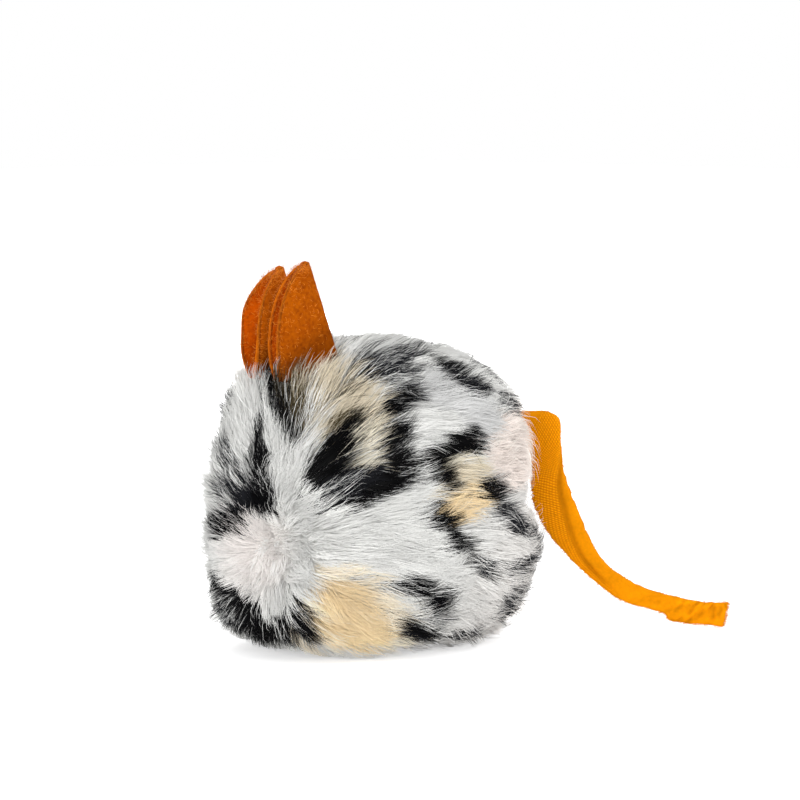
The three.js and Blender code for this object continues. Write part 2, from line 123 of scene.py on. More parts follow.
# Tints of the hairs: the share that takes the print by itself, how far off its place it takes it, the shades
# of hairs and locks, where those of locks stand in as painted shade and light from lock to lock, and how the
# roots differ, on the nose and elsewhere: painted shade, less of it on the nose, a little white elsewhere,
# and where along a hair the roots' tint gives way
ALONE_SHARE, PRINT_SCATTER = 0.35, 0.4
HAIR_SHADES, LOCK_PAINTED_SHADES = (0.93, 1.05), (0.84, 1.08)
ROOT_PAINTED_SHADE, NOSE_ROOT_GAIN, ROOT_PALE, ROOT_FADE = 0.75, 0.2, 0.08, (0.05, 0.5)
CLOTH_SHADE = 0.8

# Fades on the coat: the axis, where each starts and where it is full
FADES = {
    "ear_side": (Y, 9, 4), "ear_front": (X, -15, -20), "brow": (X, -26, -29),
    "rump": (X, 6, 22), "off_floor": (Z, 1.5, 7), "rear": (X, 10, 22),
    "front": (X, -20, -27), "low": (Z, 9, 3), "upper": (Z, 26, 36), "by_floor": (Z, 10, 5),
    "mid_back": (X, 0, 14), "rear_back": (X, 12, 22), "top": (Z, 44, 54),
}
# Bells on the coat: the axis, the middle and the width
BELLS = {
    "parting": (Z, 37, 9), "tuck": (Z, 14, 6), "tail": (Z, 33, 8),
    "nape": (X, -15, 3.5), "shoulder": (X, -9, 3),
}
PARTED, TUCKED = 0.9, 0.6
EAR_TUFT = (7, 2.5)
# Fades by the distance from the nose
NOSE_TO_COAT, COMBED, MUZZLE, BLUSH, NOSE_ROOTS = (4, 25), (2, 13), (16, 8), (15, 4), (17, 7)

# Least height over the floor, and how much more by chance: anywhere, at the front and at the far chin
FLOOR_LIFTS = [(0.12, 0.3), (1.6, 2.4), (1.6, 2)]
FRONT_LIFT_X, FAR_CHIN_X, FAR_CHIN_Y = (-20, -32), (-16, -27), (4, 16)

# Where the coat stands out more or lies flatter: a point on it, how far round it, and by how much
SWELLS = [
    ((-24, 17, 52), 9, 2.4),
    ((-28, 19, 42), 7, -1.8),
    ((-30, 19, 34.5), 5, 1.5),
    ((-31, 18, 25), 7, 1.6),
    ((-29, 17, 8), 8, 2.4),
    ((-30, -3, 52.5), 4.5, 2.2),
]
# Where the tips are pressed in, in the same way
PRESSES = [
    ((28, -21, 28.5), 8, -3.2),
    ((28, -20, 12.5), 5, -1.5),
]
BUMP_FLAT = 0.3

# Ears and tail, as in the CAD
FELT = 1.25
LEAF_GAP = 0.4
EAR_WIDTH = 14
EAR_ROUNDNESS = 22
EAR_SUNK = 4
# Each ear: the middle of its base, its own axes (forward along the base, to the mouse's left, and up out of
# the coat), its height, how wide its left and right leaves open, how far it leans back, and how much more its
# right leaf opens near the tip
EARS = {
    "left": (
        (-24.5, -4.6, 61.259),
        [(-0.8048, 0.2308, -0.5468), (-0.2756, -0.9613, 0), (-0.5256, 0.1507, 0.8373)],
        16.5, (3, 8), 14.15, 0.2,
    ),
    "right": (
        (-24.5, 3.6, 61.455),
        [(-0.7804, 0.2238, -0.5839), (-0.2756, -0.9613, 0), (-0.5613, 0.1609, 0.8119)],
        14.5, (12, 17), 16.72, 0.9,
    ),
}
TAIL_AXIS_X = 36.289
TAIL_SWING = 50
TAIL_THICKNESS = 2.2
TAIL_SLIT = 0.2
TAIL_KNIT_TOP = 37
# Edges of the folded tape in the tail's own upright plane: distance from the swing axis, height
TAIL_OUTER = [
    (0, 46.6), (5, 46.9), (10.6, 47), (13.2, 46.8), (14.7, 45.9), (15.5, 44.2), (15.6, 40.7), (15.8, 37.2),
    (16.5, 33.2), (17.6, 29.7), (20.5, 22.5), (23.3, 16.8), (27, 12.5), (34.2, 8.4), (42.3, 6.3), (46.2, 5.6),
    (52.1, 5.4),
]
TAIL_INNER = [
    (0, 39.8), (3, 39.9), (6, 39.9), (8, 39.2), (9, 37.6), (9.2, 35.6), (9.3, 33.4), (9.2, 31.2),
    (9.4, 28.6), (10.2, 25.6), (12.6, 21), (15.6, 17.2), (20.2, 12.4), (28.4, 6.1), (37.6, 3.2), (40.4, 1.2),
    (51, 0.3),
]

# Ears in the scene: rows of points in the sewn-in end and above, columns of a leaf and round the fold, and
# how far the last row stays from the tip
EAR_SUNK_ROWS, EAR_ROWS, LEAF_COLUMNS, FOLD_COLUMNS = 9, 52, 26, 9
EAR_TIP_GAP = 0.12
EAR_NARROWING, EAR_OPEN_BY, EAR_CUP, EAR_FLARE = 0.4, 0.5, 0.45, (0.45, 0.85)
# Painted shade at an ear's base, where the coat shadows it: colour kept there, heights where it fades
EAR_BASE_PAINTED_SHADE, EAR_PAINTED_SHADE_HEIGHTS = 0.64, (0.5, 7)
# Bumps of the felt: the size, the step of the seed and the height
FELT_UNEVEN, FELT_BUMPS = 0.12, [(1.1, 0, 1), (0.5, 1, 0.6)]
FUZZ_COUNT, FUZZ_RIM_SHARE, FUZZ_FROM = 1700, 4, 0.8
FUZZ_DEPTH, FUZZ_SCATTER, FUZZ_LIFT, FUZZ_ARCH = 0.48, 0.15, 0.25, 0.35
FUZZ_LENGTH, FUZZ_RADIUS = (0.5, 1.3), (0.025, 0.04)
# How round loose hairs are lit, where 0 would light them as the surface that they stand on
LOOSE_ROUND = 4

# Pocket, with its lining, its herb and its flap
POCKET_MIDDLE = np.array([-12, 0, 18.3])
POCKET_HALF = np.array([10.6, 9.1])
LINING = 0.6


# The curve that pictures are stored with: its straight part and that part's slope, then its offset and power
CURVE_STRAIGHT, CURVE_SLOPE, CURVE_OFFSET, CURVE_POWER = 0.04045, 12.92, 0.055, 2.4


def tone(red, green, blue):
    """A colour as a picture's values from 0 to 255, turned into linear light."""
    share = np.array([red, green, blue]) / 255
    curved = ((share + CURVE_OFFSET) / (1 + CURVE_OFFSET)) ** CURVE_POWER
    return np.where(share <= CURVE_STRAIGHT, share / CURVE_SLOPE, curved)


TONES = {
    name: tone(*values)
    for name, values in {
        "white": (241, 241, 238), "blush": (254, 248, 244), "warm": (247, 244, 240),
        "ash": (224, 224, 223), "rosy": (252, 240, 232), "flush": (253, 231, 215),
        "black": (8, 8, 9), "sable": (12, 12, 14), "smoke": (36, 37, 41),
        "olive": (84, 74, 52), "streak": (72, 64, 48), "tan": (226, 214, 190),
        "cream": (241, 233, 213), "peach": (255, 229, 184), "pale": (255, 243, 221),
        "felt_inside": (194, 83, 2), "felt_outside": (174, 86, 4), "felt_edge": (222, 118, 16),
        "felt_sheen": (255, 170, 80), "fuzz_dark": (214, 112, 16), "fuzz_light": (245, 150, 50),
        "tape": (227, 138, 2), "tape_tab": (226, 136, 1), "tape_fibre": (236, 146, 8),
        "yarn_in_painted_shade": (203, 113, 1), "yarn_in_painted_light": (254, 168, 8), "fibre_fill": (246, 244, 239),
        "lining": (229, 221, 203), "hem": (224, 216, 198), "herb_dark": (88, 74, 38),
        "herb_light": (150, 130, 80), "strip": (236, 236, 232), "strip_face": (238, 238, 234),
    }.items()
}
STRAW = np.array([tone(120, 100, 52), tone(152, 132, 84), tone(190, 168, 116), tone(98, 92, 46)])

# Share of the hairs inside a mark that take its tone
TONE_SHARES = {
    "sable": 0.84, "smoke": 0.7, "olive": 0.7, "tan": 0.7, "cream": 0.78,
    "streak": 0.13, "peach": 0.86, "pale": 0.8,
}
# Tones that are picked hair by hair, where the rest are picked lock by lock
FINE_TONES = {"sable", "smoke", "olive"}
# How far the edge of a mark fades out
EDGE_FEATHER = 1.1
TONE_FEATHERS = {"ash": 3, "rosy": 4, "flush": 3.4, "peach": 2.1, "pale": 2.4, "tan": 1.6, "cream": 1.4}
# The edge in feathers outside and inside a mark's width, and how much later and how sharply a lock takes it
EDGE_OUT, EDGE_IN, LOCK_LAG, LOCK_EDGE = 1.6, 0.2, 0.5, 0.3
EDGE_BUMPS = [(2.3, 3, 1.6), (0.9, 4, 0.8)]
# Factors that turn one draw of chance into a different one for each mark
PICK_SPREAD, PICK_STEP = 61.8, 0.37
# Where white turns warm: along the body, sloping with the height over a level
WARM_X, WARM_SLOPE, WARM_LEVEL = (-5, 30), 0.6, 30

# The print on the side that the camera sees, whose first three marks are painted glow and painted shade:
# tone, two ends of each stroke, half its width
STROKES = [
    # Painted glow of the orange tail's light on the rump beside it: a pink patch and an orange edge band
    ("rosy", (14, -26, 41), (30, -14, 41), 4.5),
    ("flush", (31, -14, 45), (32, -14, 37), 1.6),
    # Painted shade: a pale grey patch on the top of the back
    ("ash", (-1, -22, 56), (9, -24, 50), 3),
    ("sable", (-33, 1, 50), (-35, -2, 43), 1.1),
    ("sable", (-35, -0.8, 44), (-36, -3.4, 34.5), 2.6),
    ("sable", (-36, 1.5, 34), (-36, -4.6, 33), 1.9),
    ("smoke", (-33, 10, 42), (-36, 1, 35), 2.0),
    ("smoke", (-33, 14, 36), (-36, 2, 32), 1.7),
    ("sable", (-33, 14, 26), (-36, 4, 29), 2.0),
    ("smoke", (-25, 16, 52), (-27, 17, 48), 0.8),
    ("tan", (-24, -8, 58), (-26, -16, 50), 3.5),
    ("tan", (-21.5, -13.5, 57), (-22, -18, 53), 3.5),
    ("tan", (-19, -17, 55), (-20, -21, 50), 2.8),
    ("streak", (-23, -8, 59), (-25, -17, 50), 4.5),
    ("streak", (-19, -17, 55), (-20, -24, 43), 3.5),
    ("olive", (-27, -6, 57), (-30, -9, 52), 1.6),
    ("olive", (-27, -17, 48), (-23, -19, 50), 1.8),
    ("smoke", (-16.5, -6, 62.5), (-20, -9.5, 60), 0.7),
    ("black", (-25, 2, 59), (-29, -2, 55), 0.7),
    ("black", (-28, -2, 56.5), (-30, -5, 51), 0.8),
    ("black", (-30, -6, 53), (-32, -10, 48), 1.1),
    ("black", (-23, -20, 49), (-30, -16, 41), 2.1),
    ("black", (-31, -15, 39), (-26, -21, 41), 1.5),
    ("smoke", (-14, -14, 60), (4, -10, 63), 2.4),
    ("smoke", (-13, -17, 58), (-5, -17, 60), 1.4),
    ("smoke", (-15, -21, 53), (-8, -21, 56), 1.8),
    ("black", (-17, -22, 51), (-11, -21, 55), 1.0),
    ("smoke", (-11, -3, 64), (-1, 5, 64), 1.0),
    ("smoke", (9, -5, 63), (12, -7, 63), 1.0),
    ("cream", (-21, -22, 46), (-20, -25, 40), 3.2),
    ("black", (-16, -24, 47), (-17, -26, 40), 2.0),
    ("black", (-25, -23, 36), (-18.5, -25.5, 38), 2.0),
    ("smoke", (-30, -18, 36), (-23, -23, 39), 1.2),
    ("sable", (4, -16, 60), (12, -20, 55), 2.2),
    ("smoke", (4, -20, 58), (13, -20, 55), 1.3),
    ("smoke", (19, -13, 58), (22, -15, 55), 1.4),
    ("smoke", (18, -20, 51), (25, -17, 49), 1.3),
    ("cream", (-5, -29, 40), (2, -29, 41), 2.4),
    ("tan", (-6, -29, 34), (2, -29, 37), 3.4),
    ("peach", (-4, -30, 31), (1, -30, 33), 2.2),
    ("black", (-10, -27.5, 41.5), (-6, -28, 43), 1.7),
    ("black", (-4, -28, 44), (4, -27, 45), 1.9),
    ("black", (-9, -28, 39), (-6, -29, 37), 2.0),
    ("black", (-9.5, -28.5, 31), (-1.5, -30, 22), 1.7),
    ("black", (5, -29, 35), (10, -29, 32), 1.5),
    ("smoke", (9, -29, 30), (16, -28, 28), 1.5),
    ("smoke", (15, -28, 26), (28, -21, 22), 1.1),
    ("smoke", (2, -30, 19), (8, -29, 17), 1.3),
    ("smoke", (15, -27, 17), (27, -21, 18), 1.4),
    ("smoke", (16, -25, 11), (25, -20, 12), 1.3),
    ("smoke", (14, -25, 8), (22, -20, 6), 1.5),
    ("smoke", (3, -23, 3), (7, -23, 3), 1.2),
    ("pale", (-28, -20, 16), (-22, -22, 14), 3.0),
    ("pale", (-22, -23, 12), (-15, -23, 5), 3.6),
    ("pale", (-30, -15.5, 10), (-28, -14.5, 4), 2.0),
    ("pale", (-29.5, -9, 2), (-27.5, -14, 2.5), 1.4),
    ("peach", (-27.5, -19.5, 13), (-26, -18.5, 5), 2.8),
    ("peach", (-24.5, -21, 12), (-21.5, -20.5, 4), 3.0),
    ("sable", (-15, -28, 16), (-8, -29, 12.5), 1.9),
    ("sable", (-13, -28, 13), (-5.5, -28, 9.5), 1.0),
    ("smoke", (-7, -27, 7), (-4, -27, 7), 1.1),
    ("black", (-15, -25, 8), (-4, -23, 2), 1.2),
    ("smoke", (-15, -23, 5), (-7, -23, 3), 0.6),
    ("smoke", (-29, 15, 9), (-32.5, 4, 6), 2.5),
    ("smoke", (-28, 15, 5), (-31, 8, 3), 1.8),
    ("sable", (-33, 14, 14), (-35, 5, 11), 2.3),
    ("sable", (-35, 5, 11), (-34, 0, 7), 2.5),
    ("sable", (-33, 0, 6), (-30, -11, 5), 2.4),
    ("sable", (-32, -12, 10), (-30, -12, 6), 1.6),
    ("black", (-32, 12, 5), (-31, -2, 2.5), 1.5),
]

# The same for the rump and the back
RUMP_STROKES = [
    ("smoke", (30, -8, 45), (33, -3, 40), 1.6),
    ("black", (31, 9, 44), (35, 6, 35), 1.7),
    ("smoke", (35, -9, 28), (36, -4, 22), 1.5),
    ("black", (32, -14, 16), (34, -8, 11), 1.6),
    ("tan", (34, 12, 27), (34, 13, 20), 3.0),
    ("black", (35, 8, 24), (35, 9, 16), 1.3),
    ("smoke", (31, 16, 33), (33, 14, 29), 1.4),
    ("smoke", (32, 6, 8), (31, 12, 10), 1.4),
    ("black", (15, 6, 62), (23, 4, 58), 1.7),
    ("smoke", (22, 10, 57), (27, 8, 52), 1.4),
    ("smoke", (-12, 9, 63), (-4, 12, 62), 1.6),
    ("tan", (0, 16, 59), (6, 15, 60), 2.8),
    ("black", (-2, 20, 58), (8, 19, 57), 1.3),
]

# Marks of the side that the camera sees are repeated on the other, apart from the face and the mid back
REPEAT_MAX_Y, REPEAT_MIN_X = -9, -24
REPEAT_SHIFT, REPEAT_SCATTER, REPEAT_WIDTHS = np.array([5, 0, 2]), 2.5, (0.85, 1.2)

# Seeds of the draws for each piece
SEEDS = {
    "repeat": 11, "roots": 1, "paths": 2, "tints": 5, "left": 51, "right": 61, "tail": 41,
    "herb": 95, "flap": 103, "hook_strip": 111, "loop_strip": 113,
}


def smoothstep(low, high, value):
    share = np.clip((value - low) / (high - low), 0, 1)
    return share * share * (3 - 2 * share)


def unit(vectors):
    return vectors / np.maximum(np.linalg.norm(vectors, axis=-1, keepdims=True), TINY)


def signed_power(value, power):
    return np.sign(value) * np.abs(value) ** power


def round_off(share, exponent):
    return np.maximum(0, 1 - share**exponent) ** (1 / exponent)


def mix(first, second, share):
    """From the first colour where the share is 0 to the second where it is 1."""
    return first + share[..., None] * (second - first)


# Factors that scramble the number of a cell of the noise
HASH_AXES = np.array([374761393, 668265263, 715827882])
HASH_SEED, HASH_MIX, HASH_TOP = 1274126177, 1103515245, 0xFFFF
HASH_SHIFT, HASH_LAST_SHIFT = 13, 16


def value_noise(points, size, seed):
    """Smooth noise from 0 to 1 whose bumps are about the given size."""
    cells = points / size
    base = np.floor(cells).astype(np.int64)
    blend = cells - base
    blend = blend * blend * (3 - 2 * blend)
    total = np.zeros(points.shape[:-1])
    for corner in np.ndindex(2, 2, 2):
        key = (base + np.array(corner)) @ HASH_AXES + seed * HASH_SEED
        key = (key ^ (key >> HASH_SHIFT)) * HASH_MIX
        height = ((key ^ (key >> HASH_LAST_SHIFT)) & HASH_TOP) / HASH_TOP
        total += height * np.prod(np.where(corner, blend, 1 - blend), axis=-1)
    return total


def bumps(points, *table):
    """Sum of noises about zero, each given by the size of its bumps, its seed and its height."""
    return sum(height * (value_noise(points, size, seed) - 0.5) for size, seed, height in table)


# Meshes


def mesh_object(name, points, faces, tints, uvs=(), normals=None):
    """A smooth mesh from points, and faces given as arrays with one row of point numbers to a face."""
    mesh = bpy.data.meshes.new(name)
    mesh.vertices.add(len(points))
    mesh.vertices.foreach_set("co", (points * MM).astype(np.float32).ravel())
    corners = np.concatenate([block.ravel() for block in faces]).astype(np.int32)
    sizes = np.concatenate([np.full(len(block), block.shape[1]) for block in faces])
    mesh.loops.add(len(corners))
    mesh.loops.foreach_set("vertex_index", corners)
    mesh.polygons.add(len(sizes))
    starts = np.concatenate([[0], np.cumsum(sizes)[:-1]]).astype(np.int32)
    mesh.polygons.foreach_set("loop_start", starts)
    mesh.polygons.foreach_set("use_smooth", np.ones(len(sizes), bool))
    attribute = mesh.attributes.new("tint", "FLOAT_COLOR", "POINT")
    colours = np.concatenate([tints, np.ones((len(tints), 1))], axis=1)
    attribute.data.foreach_set("color", colours.astype(np.float32).ravel())
    if uvs:
        layer = mesh.uv_layers.new(name="OFBake")
        places = np.concatenate([block.reshape(-1, 2) for block in uvs])
        layer.data.foreach_set("uv", places.astype(np.float32).ravel())
    mesh.update(calc_edges=True)
    if normals is not None:
        mesh.normals_split_custom_set_from_vertices(normals)
    piece = bpy.data.objects.new(name, mesh)
    bpy.context.scene.collection.objects.link(piece)
    return piece


def grid_faces(rows, columns, wrap):
    """Quads between neighbouring points of a grid whose points are numbered row by row."""
    row, column = np.meshgrid(np.arange(rows - 1), np.arange(columns if wrap else columns - 1), indexing="ij")
    here = row * columns + column
    beside = row * columns + (column + 1) % columns
    return np.stack([here, beside, beside + columns, here + columns], -1).reshape(-1, 4)


def closed_grid(name, points, tints):
    """A closed mesh from a grid whose columns wrap and whose first and last rows are filled in."""
    rows, columns = points.shape[:2]
    ring = np.arange(columns)[None]
    faces = [grid_faces(rows, columns, wrap=True), ring[:, ::-1], (rows - 1) * columns + ring]
    return mesh_object(name, points.reshape(-1, 3), faces, tints.reshape(-1, 3))


# How far the rim of a slab stands out, in half thicknesses
RIM_REACH = 0.75


def slab(name, middle, thickness, front, rear=None, rim=None):
    """A sheet of one thickness or a grid of them round a grid of middle points, with a rounded rim. The tints
    of its faces are colours or grids of them, and the rear and the rim take the front's if they have none.
    The normals of the front are also returned."""
    rows, columns = middle.shape[:2]
    normals = unit(np.cross(np.gradient(middle, axis=0), np.gradient(middle, axis=1)))
    half = np.broadcast_to(np.asarray(thickness, float) / 2, (rows, columns))[..., None]
    last_row, last = rows - 1, columns - 1
    row = [np.zeros(columns), np.arange(1, rows), np.full(last, last_row), np.arange(last_row - 1, 0, -1)]
    column = [np.arange(columns), np.full(last_row, last), np.arange(last - 1, -1, -1), np.zeros(rows - 2)]
    row, column = (np.concatenate(walk).astype(int) for walk in (row, column))
    edge = middle[row, column]
    outward = unit(edge - middle[np.clip(row, 1, rows - 2), np.clip(column, 1, columns - 2)])
    lips = edge + RIM_REACH * half[row, column] * outward
    sides = [(middle + half * normals).reshape(-1, 3), (middle - half * normals).reshape(-1, 3)]
    count = rows * columns
    quads = grid_faces(rows, columns, wrap=False)
    here = row * columns + column
    after = np.roll(here, -1)
    lip = 2 * count + np.arange(len(row))
    lip_after = np.roll(lip, -1)
    front_lip = np.stack([after, here, lip, lip_after], -1)
    rear_lip = np.stack([here + count, after + count, lip_after, lip], -1)
    faces = [np.concatenate([quads[:, ::-1], quads + count, front_lip, rear_lip])]
    front = np.broadcast_to(front, middle.shape)
    rear = front if rear is None else rear
    rim = front[row, column] if rim is None else np.broadcast_to(rim, lips.shape)
    tints = np.concatenate([front.reshape(-1, 3), rear.reshape(-1, 3), rim])
    return mesh_object(name, np.concatenate([*sides, lips]), faces, tints), normals


def level_grid(along, across, height):
    """A flat grid of points from the lowest, highest and number of places along and across."""
    x, y = np.meshgrid(np.linspace(*along), np.linspace(*across), indexing="ij")
    return np.stack([x, y, np.full(x.shape, float(height))], -1)


def dress(piece, material, body=None, nodes=()):
    """Give a piece its material and slot, the nodes that it replaces and the body that it moves with."""
    piece.data.materials.clear()
    piece.data.materials.append(material)
    if nodes:
        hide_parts(*nodes)
    if body:
        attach(piece, body)
    return piece


# Strands: tapered three-sided hairs, each with its own patch of the texture

SIDES = 3
SIDE_TURNS = np.radians([90, 210, 330])
RING_SHARES = np.array([0, 0.4, 0.75])
ALONG = np.append(RING_SHARES, 1)
STRAND_POINTS = SIDES * len(RING_SHARES) + 1
TAPER, TAPER_POWER = 0.8, 1.5
PATCH_MARGIN = 0.1
# A direction that the sides of a strand are turned from
SIDE_FROM = np.array([0.31, 0.17, 0.94])
# How round the hairs of the coat are lit, where 0 lights them as the coat that they make up
COAT_ROUND = 0.8


def strand_faces(count):
    """Quads and tips of the strands, and both unrolled into cells of a square grid, sides across, tip up."""
    quads, tips, quad_patches, tip_patches = [], [], [], []
    for ring, (bottom, top) in enumerate(zip(ALONG[:-1], ALONG[1:])):
        for side in range(SIDES):
            here, beside = SIDES * ring + side, SIDES * ring + (side + 1) % SIDES
            left, right = side / SIDES, (side + 1) / SIDES
            if top < 1:
                quads.append([here, beside, beside + SIDES, here + SIDES])
                quad_patches.append([(left, bottom), (right, bottom), (right, top), (left, top)])
            else:
                tips.append([here, beside, STRAND_POINTS - 1])
                tip_patches.append([(left, bottom), (right, bottom), ((left + right) / 2, top)])
    first = (np.arange(count) * STRAND_POINTS)[:, None, None]
    faces = [(first + np.array(block)).reshape(-1, len(block[0])) for block in (quads, tips)]
    cells = math.ceil(math.sqrt(count))
    corner = np.stack([np.arange(count) % cells, np.arange(count) // cells], -1)[:, None, None]
    inside = 1 - 2 * PATCH_MARGIN
    patches = (quad_patches, tip_patches)
    return faces, [(corner + PATCH_MARGIN + inside * np.array(block)) / cells for block in patches]


def strand_mesh(name, paths, radii, tints, out, roundness=COAT_ROUND):
    """Strands whose paths and tints are given from root to tip, at the ring shares and the tip."""
    along = unit(np.gradient(paths, axis=1))
    side = unit(np.cross(along, SIDE_FROM))
    over = np.cross(along, side)
    rings, faced = [], []
    for ring, share in enumerate(RING_SHARES):
        radius = (radii * (1 - TAPER * share**TAPER_POWER))[:, None]
        for turn in SIDE_TURNS:
            aside = math.cos(turn) * side[:, ring] + math.sin(turn) * over[:, ring]
            rings.append(paths[:, ring] + radius * aside)
            faced.append(unit(out + roundness * aside))
    points = np.stack([*rings, paths[:, -1]], axis=1).reshape(-1, 3)
    normals = np.stack([*faced, out], axis=1).reshape(-1, 3)
    tints = np.broadcast_to(tints, paths.shape)
    colours = np.concatenate([np.repeat(tints[:, :-1], SIDES, axis=1), tints[:, -1:]], axis=1)
    faces, uvs = strand_faces(len(paths))
    return mesh_object(name, points, faces, colours.reshape(-1, 3), uvs, normals)


# The body's surface


def body_section(x, inset):
    """Height of the widest place, half the width, and the reach above and below it."""
    is_face = x < 0
    share = np.minimum(1, np.abs(x) / (np.where(is_face, NOSE_REACH, RUMP_REACH) - inset))
    swell = np.where(is_face, round_off(share, FACE_EXPONENT), round_off(share, RUMP_EXPONENT))
    middle = np.where(is_face, GIRTH_HEIGHT + (NOSE_HEIGHT - GIRTH_HEIGHT) * share**2, GIRTH_HEIGHT)
    half_width = round_off(share, PLAN_EXPONENT) * (BODY_HALF_WIDTH - inset)
    return middle, half_width, swell * (BACK_HEIGHT - middle - inset), swell * (middle + BELLY_SINK - inset)


def body_grid(inset, stations, sides):
    """Points of the body's outside moved inward: a row for each station from nose to rump."""
    along = -np.cos(np.pi * np.linspace(*GRID_ENDS, stations))
    power = np.where(along < 0, 2 / FACE_EXPONENT, 2 / RUMP_EXPONENT)
    x = (np.where(along < 0, NOSE_REACH, RUMP_REACH) - inset) * signed_power(along, power)
    middle, half_width, above, below = (value[:, None] for value in body_section(x, inset))
    turn = np.linspace(0, 2 * np.pi, sides, endpoint=False)[None]
    across = signed_power(np.sin(turn), 2 / SECTION_EXPONENT)
    upward = signed_power(np.cos(turn), 2 / SECTION_EXPONENT)
    height = middle + upward * np.where(upward > 0, above, below)
    x = np.broadcast_to(x[:, None], height.shape)
    return np.stack([x, -across * half_width, np.maximum(height, inset)], -1)


def grid_directions(points):
    """Unit vectors back along the coat, and straight out of it."""
    back = unit(np.gradient(points, axis=0))
    around = unit(np.roll(points, -1, axis=1) - np.roll(points, 1, axis=1))
    return back, unit(np.cross(around, back))


def in_mouth(points, margin):
    x, y, z = np.moveaxis(points, -1, 0)
    inside_x = (x > MOUTH_FRONT_X - margin) & (x < MOUTH_REAR_X + margin)
    return inside_x & (np.abs(y) < MOUTH_HALF_WIDTH + margin) & (z < GIRTH_HEIGHT / 2)


def in_belly(points):
    x, y, z = np.moveaxis(points, -1, 0)
    reach = ((x - BELLY_X) / (BELLY_LENGTH / 2)) ** 2 + (y / (BELLY_WIDTH / 2)) ** 2
    return (reach < 1) & (z < GIRTH_HEIGHT / 2)


def panel_of(points):
    """Number of the panel that points are on: left, right or belly."""
    return np.where(in_belly(points), 2, np.where(points[..., Y] < 0, 0, 1))


# The print, and marks of painted glow and shade


def repeated_strokes():
    """Marks of the same kind for the side away from the camera, moved along the cloth."""
    chance = np.random.default_rng(SEEDS["repeat"])
    flip = np.array([1, -1, 1])
    moved = []
    for name, start, end, half in STROKES:
        if start[Y] > REPEAT_MAX_Y or start[X] < REPEAT_MIN_X:
            continue
        shift = REPEAT_SHIFT + chance.uniform(-REPEAT_SCATTER, REPEAT_SCATTER, 3)
        moved.append((name, flip * start + shift, flip * end + shift, half * chance.uniform(*REPEAT_WIDTHS)))
    return moved


ALL_STROKES = STROKES + repeated_strokes() + RUMP_STROKES


def print_and_painted_light(points, chance, pick):
    """Colour of the printed coat at points on it, with its painted glow and shade. Chance and pick are
    numbers from 0 to 1 for each point: chance for its lock, pick for itself."""
    warm = smoothstep(*WARM_X, points[:, X] - WARM_SLOPE * (points[:, Z] - WARM_LEVEL))
    blush = smoothstep(*BLUSH, np.linalg.norm(points - NOSE_TIP, axis=1))
    colour = mix(mix(TONES["white"], TONES["warm"], warm), TONES["blush"], blush)
    ragged = bumps(points, *EDGE_BUMPS)
    for number, (name, start, end, half) in enumerate(ALL_STROKES):
        line = np.subtract(end, start, dtype=float)
        share = np.clip((points - start) @ line / (line @ line), 0, 1)
        away = np.linalg.norm(points - start - share[:, None] * line, axis=1) + ragged
        feather = TONE_FEATHERS.get(name, EDGE_FEATHER)
        cover = smoothstep(half + EDGE_OUT * feather, half - EDGE_IN * feather, away)
        cover = smoothstep(LOCK_LAG * chance, LOCK_LAG * chance + LOCK_EDGE, cover)
        picked = (pick if name in FINE_TONES else chance) * PICK_SPREAD + PICK_STEP * number
        cover = cover * (picked % 1 < TONE_SHARES.get(name, 1))
        colour = mix(colour, TONES[name], cover)
    return colour


# The pile


def pile_roots(count, seed):
    """Roots spread evenly over the cloth, with the directions of the coat there."""
    chance = np.random.default_rng(seed)
    cloth = body_grid(CLOTH_INSET, *ROOT_GRID)
    back, out = grid_directions(cloth)
    beside = np.roll(cloth, -1, axis=1)
    area = np.linalg.norm(np.cross(cloth[1:] - cloth[:-1], beside[:-1] - cloth[:-1]), axis=-1)
    from_nose = np.linalg.norm(cloth[:-1] - NOSE_TIP, axis=-1)
    weight = area * np.where(in_belly(cloth[:-1]), BELLY_ROOTS, 1)
    weight = weight * (1 + NOSE_EXTRA_ROOTS * smoothstep(*NOSE_DENSE, from_nose))
    cell = np.sort(chance.choice(weight.size, count, p=(weight / weight.sum()).ravel()))
    row, column = np.divmod(cell, cloth.shape[1])
    down, over = chance.random((2, count, 1))
    after = (column + 1) % cloth.shape[1]

    def between(values):
        near = values[row, column] * (1 - over) + values[row, after] * over
        far = values[row + 1, column] * (1 - over) + values[row + 1, after] * over
        return near * (1 - down) + far * down

    return between(cloth), unit(between(back)), unit(between(out))


def ear_distance(points):
    """Distance from the line of the nearer ear's base, seen along the ear's own height."""
    nearest = np.full(len(points), np.inf)
    for origin, axes, *_ in EARS.values():
        local = (points - np.array(origin)) @ np.array(axes).T
        past = np.maximum(0, np.abs(local[:, X]) - EAR_WIDTH / 2)
        away = np.where(points[:, Z] > GIRTH_HEIGHT, np.hypot(past, local[:, Y]), np.inf)
        nearest = np.minimum(nearest, away)
    return nearest


def locks(roots, size, chance):
    """The hair in the middle of each lock, and the number of the lock that each hair belongs to."""
    tufts = chance.choice(len(roots), len(roots) // size, replace=False)
    tree = KDTree(len(tufts))
    for number, tuft in enumerate(tufts):
        tree.insert(roots[tuft], number)
    tree.balance()
    return tufts, np.array([tree.find(root)[1] for root in roots])


def heights_at(table, points):
    """Sum of a table's bumps and hollows at each point."""
    total = np.zeros(points.shape[:-1])
    for middle, radius, height in table:
        total += height * smoothstep(radius, BUMP_FLAT * radius, np.linalg.norm(points - middle, axis=-1))
    return total


